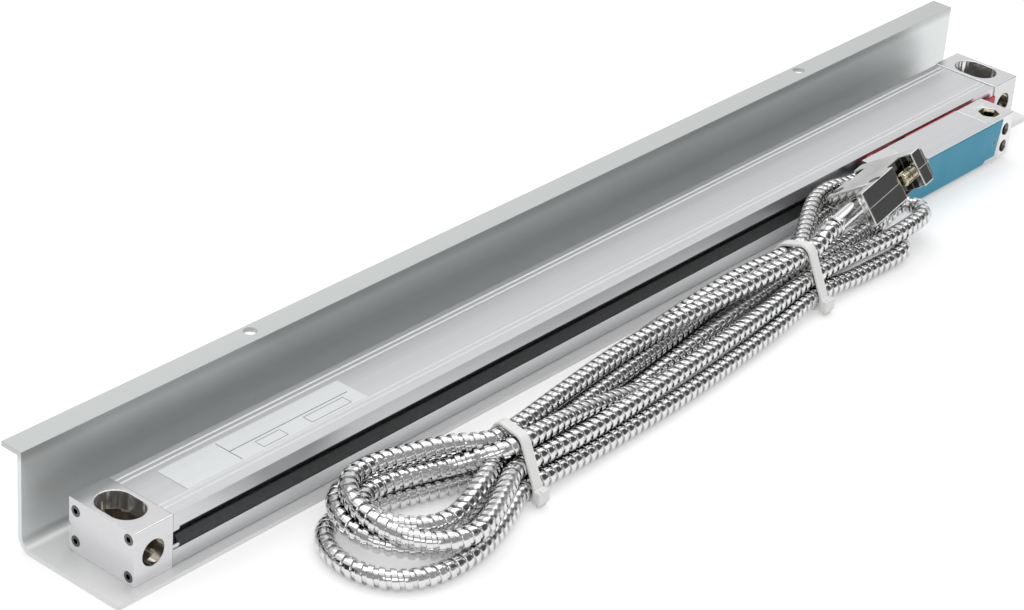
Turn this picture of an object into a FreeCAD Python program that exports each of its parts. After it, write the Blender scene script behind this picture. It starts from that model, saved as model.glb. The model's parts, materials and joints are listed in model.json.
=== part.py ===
"""Linear glass scale lying in its folded dust guard, with its reading head, armoured lead and connector.

Millimetres. +X runs along the scale, +Y points to the back, +Z is up. X = 0 is the middle of the scale,
Y = 0 is the front face of the end caps and Z = 0 is the underside of the dust guard.
"""
import FreeCAD, Part
import math
import os

V = FreeCAD.Vector

# Modelling helpers: how far a cutter passes a face, and what counts as the same plane
overcut = 1.0
tiny = 1e-6

# Scale body
scale_length = 540.0
cap_length = 17.7
cap_depth = 32.1
cap_height = 21.5
profile_inset = 0.45
profile_wall = 2.5
gasket_thickness = 0.5
gasket_inset = 0.3
slot_height = 8.5
slot_bottom = 6.7

# Grooves pressed into the top and back of the profile
groove_width = 0.7
groove_depth = 0.35
groove_pitch = 2.3
groove_edge = 5.4
back_groove_depth = 1.0
back_groove_width = 2.4
back_corner_radius = 3.0

# Screws that hold the end caps
cap_screw_r = 1.25
cap_screw_head_r = 2.0
cap_screw_head_height = 2.5
cap_screw_length = 26.0
port_front = 2.9
port_back = 3.4
port_top = 3.4
port_bottom = 3.2
back_port_top = 4.6
back_port_bottom = 4.8
port_wall = 1.1
key_share = 0.8

# Well, mounting bores and tongues of the end caps
well_side = 2.0
well_front = 6.5
well_back = 6.0
pocket_floor = 3.0
pocket_roof = 14.0
pocket_front = 4.0
pocket_back = 5.2
access_bore_r = 5.0
mount_bore_r = 3.3
bore_height = 10.4
tongue_length = 4.0
tongue_height = 1.7
tongue_thickness = 1.6
tongue_recess = 0.4

# Sealing lips
lip_gap = 1.5
lip_root_depth = 1.4
lip_root_width = 1.3
lip_root_inset = 0.7
lip_reach = 3.2
lip_tip = 0.7
lower_lip_height = 3.7
lip_end_gap = 0.2

# Glass and its seat
glass_thickness = 2.1
glass_room = 14.2
glass_end_gap = 6.5
glass_height = 10.0
cushion_thickness = 1.0
rib_depth = 3.6
rib_thickness = 1.4

# Label on the top face
label_length = 88.7
label_width = 15.3
label_left = 32.3
label_front = 8.1
label_thickness = 0.2

# Dust guard, one folded sheet
guard_length = 559.0
guard_shift = -1.15
guard_sheet = 1.8
guard_lip = 4.0
guard_gap = 11.6
guard_height = 39.5
guard_flange = 9.8
guard_bend = 4.5
guard_hole_r = 2.6
guard_hole_spacing = 335.0
guard_hole_inset = 3.8

# Reading head
head_length = 92.0
head_end_gap = 14.3
head_gap = 1.5
head_depth = 17.5
head_height = 20.7
head_lift = 0.3
head_wall = 2.0
block_length = 19.5
plate_thickness = 1.4
plate_overlap = 8.5
plate_fit = 0.1
film_thickness = 0.3
film_inset = 1.3
film_step = 1.4
film_step_length = 12.0
film_slant = 3.3
film_left_gap = 0.2

# Holes of the mounting blocks
block_bore_r = 2.75
block_bore_end = 9.8
block_bore_front = 6.8
nut_pocket_af = 8.2
nut_pocket_depth = 4.4
face_hole_r = 1.6
face_sink_r = 3.0
face_hole_end = 4.6
face_hole_low = 5.6
face_hole_spacing = 8.2

# Screws of the head
block_screw_r = 1.0
block_screw_head_r = 1.9
block_screw_head_height = 2.0
block_screw_height = 2.4
block_screw_thread = 1.6
block_screw_back = 3.3
block_screw_front = 2.5
cover_screw_r = 1.0
cover_screw_head_r = 1.7
cover_screw_head_height = 0.9
cover_screw_end = 13.5
cover_screw_height = 10.2
cover_screw_length = 6.0

# Coupling blade between head and carriage
blade_thickness = 0.8
blade_length = 36.0
blade_leg = 6.0
blade_slot_clearance = 0.4
blade_screw_r = 1.0
blade_screw_head_r = 1.8
blade_screw_head_height = 1.2
blade_screw_pitch = 12.0
blade_screw_margin = 0.4

# Carriage that runs on the glass
carriage_length = 84.0
spine_gap = 5.95
spine_thickness = 3.0
spine_height = 12.6
spine_bottom = 4.9
arm_length = 26.0
arm_shift = 5.0
arm_thickness = 1.8
arm_room = 1.95
upper_arm_height = 13.6
lower_arm_height = 6.4
arm_window_length = 14.0
arm_window_width = 5.0
arm_window_back = 1.9
board_thickness = 0.8
board_margin = 2.0
reticle_thickness = 1.4
reticle_length = 18.0
reticle_width = 6.2
led_side = 3.0
led_height = 0.9
cell_count = 4
cell_pitch = 3.2
cell_length = 2.4
cell_width = 4.0
cell_height = 0.7
spring_thickness = 0.4
spring_height = 3.0
spring_length = 44.0
spring_foot = 6.0
spring_top = 14.0
spring_rise = 1.5

# Guide bearings of the carriage
bearing_r = 2.5
bearing_width = 2.4
bearing_bore_clearance = 0.04
bearing_pin_r = 0.8
pin_head_r = 1.2
pin_head_height = 0.5
pin_side_clearance = 0.15
rolling_clearance = 0.03
face_bearing_offset = 30.0
face_bearing_depth = 1.85
middle_bearing_offset = 14.0
middle_bearing_room = 0.5
edge_bearing_offset = 38.0
edge_lug_length = 6.0
edge_lug_margin = 1.6

# Circuit board and lead entry of the head
pcb_end_gap = 2.5
pcb_height = 13.0
pcb_thickness = 1.2
pcb_bottom = 3.0
pcb_standoff = 5.2
standoff_r = 1.8
pcb_screw_r = 0.8
pcb_screw_head_r = 1.5
pcb_screw_head_height = 1.0
pcb_screw_length = 5.0
pcb_hole_inset = 3.0
chip_place = -8.0
chip_low = 4.0
chip_side = 10.0
chip_tall = 6.0
chip_thickness = 1.6
driver_place = 7.0
driver_low = 5.0
driver_side = 6.0
driver_tall = 5.0
driver_thickness = 1.4
gland_r = 4.6
gland_length = 6.0
gland_spigot_r = 3.2
gland_spigot_length = 5.0
lead_height = 16.0
lead_depth = 6.0
core_r = 2.0
core_length = 28.0

# Transit spacer in the gap between head and scale
spacer_thickness = 1.1
spacer_low = 15.4
spacer_mid = 17.8
spacer_high = 20.6
spacer_start = 5.0
spacer_end = 13.0
spacer_tab_length = 11.0
spacer_tab_drop = 1.6
spacer_blob_length = 4.0
spacer_strip_start = 34.0
spacer_strip_length = 39.0

# Armoured lead, its hank and the ties round it
armour_d = 7.6
bend_share = 0.45
tie_width = 4.8
tie_thickness = 1.3
tie_head_length = 7.4
tie_head_depth = 4.6
tie_head_height = 6.4
tie_head_lift = 4.6
tie_tail_length = 5.0
tie_tail_thickness = 1.2
tie_tail_lift = 1.0

# Connector: two half shells, metal shroud, insulator, pins, thumbscrews
plug_width = 31.0
plug_block = 7.0
plug_body_width = 25.0
plug_body_length = 27.0
plug_wing_length = 10.0
plug_wing_width = 3.6
plug_thickness = 15.0
plug_wall = 2.0
plug_side_wall = 5.0
flange_thickness = 0.8
flange_height = 12.5
shroud_width = 17.0
shroud_height = 8.4
shroud_slope = 1.4
shroud_length = 5.9
shroud_wall = 0.5
insulator_depth = 4.0
pin_pitch = 2.77
pin_row_gap = 2.84
pin_r = 0.5
pin_reach = 5.0
pin_tail = 3.0
pin_counts = (5, 4)
thumb_spacing = 25.0
thumb_shaft_r = 1.4
thumb_clearance = 0.05
thumb_knob_r = 3.0
thumb_knob_length = 9.0
thumb_reach = 5.0
thumb_gap = 0.3
thumb_end_gap = 1.3
hood_screw_place = 29.0
hood_screw_side = 9.6
hood_screw_r = 1.2
hood_screw_head_r = 2.3
hood_screw_head_height = 1.5
ferrule_r = 3.9
ferrule_length = 19.0
ferrule_hold = 4.0
ferrule_ring_r = 4.6
ferrule_ring_length = 1.5

# Where the connector lies on the hank, and how it is turned
plug_place = V(137.7, -24.4, 29.0)
plug_yaw = 6.7
plug_pitch = 4.9
plug_roll = -34.8

# Route of the lead from the gland to the hank, points chosen by hand
lead_points = [
    (140.0, -6.0, 17.8),
    (131.0, -6.0, 17.8),
    (120.0, -4.6, 19.6),
    (108.0, -5.8, 19.7),
    (97.0, -10.6, 19.5),
    (86.5, -16.4, 18.9),
    (77.0, -21.4, 18.4),
    (66.0, -25.6, 18.0),
]

# Cross-sections of the hank: place along X, back, front, underside, top at the back, top at the front
hank_sections = [
    (-221.0, -33.0, -50.0, 0.0, 8.0, 8.0),
    (-214.0, -22.0, -59.0, 0.0, 14.0, 12.0),
    (-198.0, -13.0, -67.0, 0.0, 18.0, 14.0),
    (-176.0, -12.0, -70.0, 0.0, 20.0, 16.0),
    (-152.0, -19.0, -67.0, 0.0, 22.0, 18.0),
    (-131.0, -30.0, -60.0, 1.5, 23.0, 21.0),
    (-123.0, -30.0, -60.0, 1.5, 23.0, 21.0),
    (-90.0, -25.0, -59.0, 0.0, 22.0, 19.0),
    (-35.0, -19.0, -57.0, 0.0, 20.0, 17.0),
    (25.0, -18.0, -50.0, 0.0, 22.0, 20.0),
    (59.0, -18.0, -43.5, 1.5, 24.0, 26.0),
    (69.0, -18.0, -43.5, 1.5, 24.0, 26.0),
]
hank_loop_sections = [
    (69.0, -18.5, -43.0, 1.5, 9.5, 15.5),
    (84.0, -17.5, -46.0, 0.0, 9.5, 15.5),
    (115.0, -17.0, -46.0, 0.0, 8.0, 16.0),
    (138.0, -18.5, -44.0, 0.0, 8.0, 15.5),
    (143.0, -20.2, -43.0, 0.0, 8.0, 15.0),
    (155.0, -20.8, -38.0, 0.0, 8.0, 12.0),
    (162.0, -23.5, -33.0, 0.0, 7.0, 8.0),
]
tie_sections = (5, 10)
hank_corner_share = 0.3


def box(x0, x1, y0, y1, z0, z1):
    """Box between two corners."""
    return Part.makeBox(x1 - x0, y1 - y0, z1 - z0, V(x0, y0, z0))


def rod_x(x0, x1, y, z, r):
    return Part.makeCylinder(r, x1 - x0, V(x0, y, z), V(1, 0, 0))


def rod_y(x, y0, y1, z, r):
    return Part.makeCylinder(r, y1 - y0, V(x, y0, z), V(0, 1, 0))


def rod_z(x, y, z0, z1, r):
    return Part.makeCylinder(r, z1 - z0, V(x, y, z0), V(0, 0, 1))


def prism_x(points, x0, x1):
    """Prism along X over an outline of (y, z) points."""
    wire = Part.makePolygon([V(x0, y, z) for y, z in points + points[:1]])
    return Part.Face(wire).extrude(V(x1 - x0, 0, 0))


def prism_z(points, z0, z1):
    """Prism along Z over an outline of (x, y) points."""
    wire = Part.makePolygon([V(x, y, z0) for x, y in points + points[:1]])
    return Part.Face(wire).extrude(V(0, 0, z1 - z0))


def hexagon(x, y, across_flats, z0, z1):
    """Hexagonal prism with corners on the X axis."""
    corner = across_flats / math.sqrt(3.0)
    points = []
    for i in range(6):
        turn = math.radians(60.0 * i)
        points.append((x + corner * math.cos(turn), y + corner * math.sin(turn)))
    return prism_z(points, z0, z1)


def group(solids):
    return Part.makeCompound(solids)


def arc_yz(x, centre_y, centre_z, r, start, end):
    """Arc in a plane of constant X, angles in degrees from +Y towards +Z."""
    marks = []
    for turn in (start, (start + end) / 2.0, end):
        angle = math.radians(turn)
        marks.append(V(x, centre_y + r * math.cos(angle), centre_z + r * math.sin(angle)))
    return Part.Arc(*marks).toShape()


# Places that follow from the driving dimensions
base = guard_sheet
left_end = -scale_length / 2.0
right_end = scale_length / 2.0
profile_left = left_end + cap_length + gasket_thickness
profile_right = right_end - cap_length - gasket_thickness
front_face = profile_inset
back_face = cap_depth - profile_inset
profile_bottom = base + profile_inset
profile_top = base + cap_height - profile_inset
cavity_front = front_face + profile_wall
cavity_back = back_face - profile_wall
cavity_bottom = profile_bottom + profile_wall
cavity_top = profile_top - profile_wall
slot_low = base + slot_bottom
slot_high = slot_low + slot_height
blade_height = slot_low + lower_lip_height
glass_low = base + glass_height
glass_high = glass_low + glass_thickness
glass_back = cavity_back
glass_front = cavity_front + glass_room
rib_front = cavity_back - rib_depth
head_right = right_end - cap_length - head_end_gap
head_left = head_right - head_length
head_middle = (head_left + head_right) / 2.0
head_back = -head_gap
head_front = head_back - head_depth
head_bottom = base + head_lift
head_top = head_bottom + head_height
plate_back = head_front + plate_thickness
plate_half = head_length / 2.0 - plate_overlap
pcb_length = head_length - 2 * (block_length + head_wall + pcb_end_gap)
lead_y = -lead_depth
lead_z = base + lead_height
spine_back = glass_front - spine_gap
spine_front = spine_back - spine_thickness
arm_back = rib_front - arm_room
spine_low = base + spine_bottom
spine_high = spine_low + spine_height


def cap_screw_places():
    """Places of the four cap screws, as (y, z)."""
    back_y = cap_depth - port_back
    return [
        (port_front, base + port_bottom),
        (port_front, base + cap_height - port_top),
        (back_y, base + back_port_bottom),
        (back_y, base + cap_height - back_port_top),
    ]


def dust_guard():
    """Folded sheet: floor, rounded bend, upright wall and a flange turned back at the top."""
    x0 = guard_shift - guard_length / 2.0
    wall_front = cap_depth + guard_gap
    wall_back = wall_front + guard_sheet
    bend_y = wall_front - guard_bend
    bend_z = guard_sheet + guard_bend
    tip = wall_front + guard_flange
    under = guard_height - guard_sheet
    path = [
        V(x0, -guard_lip, guard_sheet),
        V(x0, -guard_lip, 0),
        V(x0, bend_y, 0),
    ]
    outer = [V(x0, wall_back, bend_z), V(x0, wall_back, under), V(x0, tip, under), V(x0, tip, guard_height)]
    outer += [V(x0, wall_front, guard_height), V(x0, wall_front, bend_z)]
    edges = [Part.makeLine(a, b) for a, b in zip(path, path[1:])]
    edges.append(arc_yz(x0, bend_y, bend_z, guard_bend + guard_sheet, -90, 0))
    edges += [Part.makeLine(a, b) for a, b in zip(outer, outer[1:])]
    edges.append(arc_yz(x0, bend_y, bend_z, guard_bend, 0, -90))
    edges.append(Part.makeLine(V(x0, bend_y, guard_sheet), path[0]))
    sheet = Part.Face(Part.Wire(edges)).extrude(V(guard_length, 0, 0))
    hole_y = tip - guard_hole_inset
    for side in (-1, 1):
        hole_x = side * guard_hole_spacing / 2.0
        hole = rod_z(hole_x, hole_y, under - overcut, guard_height + overcut, guard_hole_r)
        sheet = sheet.cut(hole)
    return sheet


def groove_lines():
    """Middle lines of the top grooves, a pair at the front and a pair at the back."""
    lines = []
    for step in (0, 1):
        lines.append(groove_edge + step * groove_pitch)
        lines.append(cap_depth - port_back - step * groove_pitch)
    return lines


def lip_channels(x0, x1):
    """Grooves in the slot's edges that hold the roots of the lips."""
    y0 = front_face + lip_root_inset
    y1 = y0 + lip_root_width
    upper = box(x0, x1, y0, y1, slot_high, slot_high + lip_root_depth)
    lower = box(x0, x1, y0, y1, slot_low - lip_root_depth, slot_low)
    return [upper, lower]


def back_groove(x0, x1, face):
    """V-groove along a back face, at half its height."""
    middle = base + cap_height / 2.0
    half = back_groove_width / 2.0
    mouth = [(face, middle + half), (face + overcut, middle + half), (face + overcut, middle - half)]
    points = mouth + [(face, middle - half), (face - back_groove_depth, middle)]
    return prism_x(points, x0, x1)


def scale_housing():
    """Extruded aluminium case with its front slot, screw ports and the seat of the glass."""
    x0 = profile_left
    x1 = profile_right
    case = box(x0, x1, front_face, back_face, profile_bottom, profile_top)
    edges = [e for e in case.Edges if abs(e.BoundBox.YMin - back_face) < tiny and e.BoundBox.XLength > tiny]
    low_back = [e for e in edges if e.BoundBox.ZMax < cavity_bottom]
    case = case.makeFillet(back_corner_radius - profile_inset, low_back)
    case = case.cut(box(x0, x1, cavity_front, cavity_back, cavity_bottom, cavity_top))
    case = case.cut(box(x0, x1, front_face, cavity_front, slot_low, slot_high))
    ports = [rod_x(x0, x1, y, z, cap_screw_r + port_wall) for y, z in cap_screw_places()]
    keep = box(x0, x1, front_face, back_face, profile_bottom, profile_top)
    seat_top = glass_high + cushion_thickness
    ribs = [
        box(x0, x1, rib_front, cavity_back, glass_low - rib_thickness, glass_low),
        box(x0, x1, rib_front, cavity_back, seat_top, seat_top + rib_thickness),
    ]
    slot_clear = box(x0, x1, front_face, cavity_front, slot_low, slot_high)
    case = case.fuse([p.common(keep).cut(slot_clear) for p in ports] + ribs)
    cuts = [rod_x(x0, x1, y, z, cap_screw_r) for y, z in cap_screw_places()]
    half = groove_width / 2.0
    for y in groove_lines():
        above = profile_top + overcut
        mouth = [(y + half, profile_top), (y + half, above), (y - half, above)]
        cuts.append(prism_x(mouth + [(y - half, profile_top), (y, profile_top - groove_depth)], x0, x1))
    cuts.append(back_groove(x0, x1, back_face))
    return case.cut(cuts + lip_channels(x0, x1)).removeSplitter()


def rounded_slot(x0, x1, y0, y1, z0, z1):
    """Slot with round ends, long along Y."""
    r = (x1 - x0) / 2.0
    middle = (x0 + x1) / 2.0
    body = box(x0, x1, y0 + r, y1 - r, z0, z1)
    return body.fuse([rod_z(middle, y0 + r, z0, z1, r), rod_z(middle, y1 - r, z0, z1, r)])


def cap_bore_x(side):
    """Middle of an end cap's well, along X."""
    return side * (scale_length - cap_length) / 2.0


def tongue(side, low):
    """Round-ended bar that reaches from an end cap into the slot of the case."""
    radius = tongue_height / 2.0
    inner = side * (scale_length / 2.0 - cap_length)
    end = inner - side * (tongue_length - radius)
    y0 = front_face + tongue_recess
    y1 = y0 + tongue_thickness
    bar = box(min(inner, end), max(inner, end), y0, y1, low, low + tongue_height)
    return bar.fuse(rod_y(end, y0, y1, low + radius, radius))


def end_cap(side):
    """Cast end cap with its well, pocket, mounting bores, screw seats and tongues."""
    outer = side * scale_length / 2.0
    inner = outer - side * cap_length
    x0 = min(outer, inner)
    x1 = max(outer, inner)
    top = base + cap_height
    block = box(x0, x1, 0, cap_depth, base, top)
    back_edges = [e for e in block.Edges if e.BoundBox.YMin > cap_depth - tiny]
    low_back = [e for e in back_edges if e.BoundBox.ZMax < base + tiny]
    block = block.makeFillet(back_corner_radius, low_back)
    middle = cap_bore_x(side)
    bore_z = base + bore_height
    well0 = x0 + well_side
    well1 = x1 - well_side
    cuts = [
        rounded_slot(well0, well1, well_front, cap_depth - well_back, base + pocket_roof - overcut, top),
        box(well0, well1, pocket_front, cap_depth - pocket_back, base + pocket_floor, base + pocket_roof),
        rod_y(middle, 0, pocket_front + overcut, bore_z, access_bore_r),
        rod_y(middle, cap_depth - pocket_back - overcut, cap_depth, bore_z, mount_bore_r),
        back_groove(x0, x1, cap_depth),
    ]
    for y, z in cap_screw_places():
        cuts.append(rod_x(x0, x1, y, z, cap_screw_r))
        head0 = outer if side < 0 else outer - cap_screw_head_height
        cuts.append(rod_x(head0, head0 + cap_screw_head_height, y, z, cap_screw_head_r))
    block = block.cut(cuts)
    return block.fuse([tongue(side, slot_high - tongue_height), tongue(side, slot_low)])


def cap_gasket(side):
    """Thin seal between an end cap and the profile."""
    inner = side * (scale_length / 2.0 - cap_length)
    x0 = inner if side < 0 else inner - gasket_thickness
    x1 = x0 + gasket_thickness
    inset = gasket_inset
    seal = box(x0, x1, front_face + inset, back_face - inset, profile_bottom + inset, profile_top - inset)
    hollow = box(x0, x1, cavity_front, cavity_back, cavity_bottom, cavity_top)
    slot = box(x0, x1, 0, cavity_front, slot_low, slot_high)
    corner_y = back_face - back_corner_radius
    corner = box(x0, x1, corner_y, back_face, profile_bottom, base + back_corner_radius)
    holes = [rod_x(x0, x1, y, z, cap_screw_r) for y, z in cap_screw_places()]
    notch = back_groove(x0, x1, back_face)
    return seal.cut([hollow, slot, corner, notch] + holes)


def cap_screws(side):
    """Four socket screws of one end cap."""
    outer = side * scale_length / 2.0
    screws = []
    for y, z in cap_screw_places():
        head_in = outer - side * cap_screw_head_height
        tip = head_in - side * (cap_screw_length - cap_screw_head_height)
        head = rod_x(min(outer, head_in), max(outer, head_in), y, z, cap_screw_head_r)
        shank = rod_x(min(head_in, tip), max(head_in, tip), y, z, cap_screw_r)
        key0 = outer if side < 0 else outer - cap_screw_head_height / 2.0
        key = rod_x(key0, key0 + cap_screw_head_height / 2.0, y, z, cap_screw_r * key_share)
        screws.append(head.fuse(shank).cut(key).removeSplitter())
    return group(screws)


def seal_lip(upper):
    """Sealing lip: its root sits in the slot's edge and its flap slopes into the case."""
    edge = slot_high if upper else slot_low
    away = 1 if upper else -1
    root0 = front_face + lip_root_inset
    root1 = root0 + lip_root_width
    tip_z = blade_height + away * lip_gap / 2.0
    tip1 = front_face + lip_root_inset + lip_reach
    points = [
        (root0, edge + away * lip_root_depth),
        (root1, edge + away * lip_root_depth),
        (root1, edge),
        (tip1, tip_z + away * lip_tip),
        (tip1, tip_z),
        (tip1 - lip_tip, tip_z),
        (root0, edge),
    ]
    inner = scale_length / 2.0 - cap_length - tongue_length - lip_end_gap
    lip = prism_x(points, -inner, inner)
    return lip


def glass_scale():
    """Graduated glass strip in the back of the case."""
    x0 = profile_left + glass_end_gap
    x1 = profile_right - glass_end_gap
    return box(x0, x1, glass_front, glass_back, glass_low, glass_high)


def glass_cushion_strip():
    """Soft strip that presses the glass onto its lower rib."""
    x0 = profile_left + glass_end_gap
    x1 = profile_right - glass_end_gap
    return box(x0, x1, rib_front, cavity_back, glass_high, glass_high + cushion_thickness)


def info_label():
    """Foil label on the top face, between the grooves."""
    x0 = left_end + label_left
    return box(x0, x0 + label_length, label_front, label_front + label_width,
               profile_top, profile_top + label_thickness)


def face_holes():
    """The two countersunk cross holes of the right block."""
    x = head_right - face_hole_end
    depth = face_sink_r - face_hole_r
    holes = []
    for step in (0, 1):
        z = base + face_hole_low + step * face_hole_spacing
        sink = Part.makeCone(face_sink_r, face_hole_r, depth, V(x, head_front, z), V(0, 1, 0))
        holes += [rod_y(x, head_front, head_back, z, face_hole_r), sink]
    return holes


def block_bore_x(side):
    """Place along X of a mounting block's upright bore."""
    return head_middle + side * (head_length / 2.0 - block_bore_end)


def block_screw_ys():
    """Places across the head of the screws that hold a block."""
    return (head_back - block_screw_back, head_front + block_screw_front)


def mount_block(side):
    """End block of the reading head, with its upright bore, nut pocket, and cross holes or lead entry."""
    outer = head_middle + side * head_length / 2.0
    inner = outer - side * block_length
    x0 = min(outer, inner)
    x1 = max(outer, inner)
    block = box(x0, x1, head_front, head_back, head_bottom, head_top)
    edge = head_middle + side * (plate_half + plate_fit)
    r0 = min(edge, inner)
    r1 = max(edge, inner)
    cuts = [box(r0, r1, head_front, plate_back, head_bottom, head_top)]
    bore_x = block_bore_x(side)
    bore_y = head_front + block_bore_front
    cuts.append(rod_z(bore_x, bore_y, head_bottom, head_top, block_bore_r))
    cuts.append(hexagon(bore_x, bore_y, nut_pocket_af, head_top - nut_pocket_depth, head_top))
    screw_z = base + block_screw_height
    for y in block_screw_ys():
        cuts.append(rod_x(x0, x1, y, screw_z, block_screw_r))
        seat = outer - side * block_screw_head_height
        cuts.append(rod_x(min(outer, seat), max(outer, seat), y, screw_z, block_screw_head_r))
    cuts.append(cover_screw(side))
    if side > 0:
        cuts += face_holes()
    else:
        cuts.append(rod_x(x0, x0 + gland_spigot_length, lead_y, lead_z, gland_spigot_r))
        cuts.append(rod_x(x0, x1, lead_y, lead_z, core_r))
    return block.cut(cuts).removeSplitter()


def block_screws():
    """Screws that hold both blocks to the head housing."""
    screws = []
    z = base + block_screw_height
    for side in (-1, 1):
        outer = head_middle + side * head_length / 2.0
        seat = outer - side * block_screw_head_height
        tip = outer - side * (block_length + block_screw_thread)
        for y in block_screw_ys():
            head = rod_x(min(outer, seat), max(outer, seat), y, z, block_screw_head_r)
            shank = rod_x(min(seat, tip), max(seat, tip), y, z, block_screw_r)
            screws.append(head.fuse(shank).removeSplitter())
    return group(screws)


def standoff_xs():
    """Places along X of the circuit board's two posts."""
    reach = pcb_length / 2.0 - pcb_hole_inset
    return (head_middle - reach, head_middle + reach)


def head_housing():
    """Die-cast middle of the reading head, open at the front, with the blade's slot in its back wall."""
    x0 = head_left + block_length
    x1 = head_right - block_length
    case = box(x0, x1, plate_back, head_back, head_bottom, head_top)
    inner0 = x0 + head_wall
    inner1 = x1 - head_wall
    wall_y = head_back - head_wall
    case = case.cut(box(inner0, inner1, plate_back, wall_y, head_bottom + head_wall, head_top - head_wall))
    post_z = base + pcb_bottom + pcb_hole_inset
    posts = [rod_y(x, wall_y - pcb_standoff, wall_y, post_z, standoff_r) for x in standoff_xs()]
    case = case.fuse(posts)
    gap = blade_slot_clearance
    half = blade_length / 2.0 + gap
    cuts = [box(head_middle - half, head_middle + half, wall_y, head_back,
                blade_height - blade_thickness / 2.0 - gap, blade_height + blade_thickness / 2.0 + gap)]
    for x in blade_screw_xs():
        cuts.append(rod_y(x, wall_y, head_back, blade_screw_z(), blade_screw_r))
    for x in standoff_xs():
        cuts.append(rod_y(x, wall_y - pcb_standoff, wall_y, post_z, pcb_screw_r))
    for y in block_screw_ys():
        z = base + block_screw_height
        cuts.append(rod_x(x0, x0 + block_screw_thread, y, z, block_screw_r))
        cuts.append(rod_x(x1 - block_screw_thread, x1, y, z, block_screw_r))
    cuts.append(rod_x(x0, inner0, lead_y, lead_z, core_r))
    return case.cut(cuts)


def head_front_plate():
    """Flat cover that closes the head's housing and reaches over both blocks."""
    x0 = head_middle - plate_half
    x1 = head_middle + plate_half
    plate = box(x0, x1, head_front, plate_back, head_bottom, head_top)
    return plate.cut([cover_screw(side) for side in (-1, 1)])


def film_outline():
    """Outline of the coloured film, with the step in its lower edge near the right end."""
    left = head_left + film_left_gap
    right = head_middle + plate_half
    low = head_bottom + film_inset
    high = head_top - film_inset
    step_x = right - film_step_length
    return [
        (left, low),
        (step_x, low),
        (step_x + film_step, low + film_step),
        (right - film_slant, low + film_step),
        (right, high),
        (left, high),
    ]


def blue_cover_film():
    """Coloured foil on the front of the head."""
    y0 = head_front - film_thickness
    wire = Part.makePolygon([V(x, y0, z) for x, z in film_outline() + film_outline()[:1]])
    return Part.Face(wire).extrude(V(0, film_thickness, 0))


def cover_screw(side):
    """Flush screw through the front plate and into a block, under the film."""
    x = head_middle + side * (head_length / 2.0 - cover_screw_end)
    z = base + cover_screw_height
    head = rod_y(x, head_front, head_front + cover_screw_head_height, z, cover_screw_head_r)
    shank = rod_y(x, head_front, head_front + cover_screw_length, z, cover_screw_r)
    return head.fuse(shank).removeSplitter()


def cover_screws():
    """Flush screws of the front plate."""
    return group([cover_screw(side) for side in (-1, 1)])


def blade_screw_xs():
    return [head_middle + step * blade_screw_pitch for step in (-1, 0, 1)]


def blade_screw_z():
    return blade_height + blade_thickness / 2.0 + blade_leg - blade_screw_head_r - blade_screw_margin


def spring_peak():
    """Front of the leaf spring, where the blade ends."""
    return spine_front - spring_thickness - spring_rise


def coupling_blade():
    """Thin steel angle: its leg is screwed inside the head and its blade passes between the lips."""
    x0 = head_middle - blade_length / 2.0
    x1 = head_middle + blade_length / 2.0
    wall_y = head_back - head_wall
    z0 = blade_height - blade_thickness / 2.0
    z1 = blade_height + blade_thickness / 2.0
    blade = box(x0, x1, wall_y - blade_thickness, spring_peak(), z0, z1)
    leg = box(x0, x1, wall_y - blade_thickness, wall_y, z0, z1 + blade_leg)
    angle = blade.fuse(leg).removeSplitter()
    return angle.cut([rod_y(x, wall_y - blade_thickness, wall_y, blade_screw_z(), blade_screw_r)
                      for x in blade_screw_xs()])


def blade_screws():
    """Three screws of the blade's leg."""
    screws = []
    leg_y = head_back - head_wall - blade_thickness
    for x in blade_screw_xs():
        head = rod_y(x, leg_y - blade_screw_head_height, leg_y, blade_screw_z(), blade_screw_head_r)
        shank = rod_y(x, leg_y, leg_y + blade_thickness + head_wall, blade_screw_z(), blade_screw_r)
        screws.append(head.fuse(shank).removeSplitter())
    return group(screws)


def coupling_spring():
    """Bowed leaf spring between the blade and the carriage."""
    half = spring_length / 2.0
    flat = half - spring_foot
    top = spring_top / 2.0
    peak = spring_peak()
    seat = spine_front
    t = spring_thickness
    points = [
        (-half, seat), (-flat, seat), (-top, peak + t), (top, peak + t), (flat, seat), (half, seat),
        (half, seat - t), (flat, seat - t), (top, peak), (-top, peak), (-flat, seat - t), (-half, seat - t),
    ]
    z0 = blade_height - spring_height / 2.0
    spring = prism_z([(head_middle + x, y) for x, y in points], z0, z0 + spring_height)
    return spring


def edge_bearing_y():
    """Axis of the bearings that run on the glass edge."""
    return glass_front - bearing_r - rolling_clearance


def face_bearing_z():
    """Axis of the bearings that run on the glass face."""
    return glass_high + bearing_r + rolling_clearance


def face_bearings():
    """Place along X and front face of the three bearings on the glass face."""
    middle_back = rib_front - middle_bearing_room - pin_head_height - pin_side_clearance
    return [
        (head_middle - face_bearing_offset, glass_front + face_bearing_depth),
        (head_middle + face_bearing_offset, glass_front + face_bearing_depth),
        (head_middle + middle_bearing_offset, middle_back - bearing_width),
    ]


def edge_bearings():
    """Places along X of the two bearings on the glass edge."""
    return [head_middle - edge_bearing_offset, head_middle + edge_bearing_offset]


def edge_bearing_z():
    """Underside of the bearings on the glass edge."""
    return (glass_low + glass_high - bearing_width) / 2.0


def arm_middle():
    """Middle of the carriage's arms, along X."""
    return head_middle - arm_shift


def arm(z0):
    """One arm of the carriage with its window, over or under the glass."""
    x0 = arm_middle() - arm_length / 2.0
    slab = box(x0, x0 + arm_length, spine_back, arm_back, z0, z0 + arm_thickness)
    w0 = x0 + (arm_length - arm_window_length) / 2.0
    y0 = window_y() - arm_window_width / 2.0
    return slab.cut(box(w0, w0 + arm_window_length, y0, y0 + arm_window_width, z0, z0 + arm_thickness))


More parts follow.
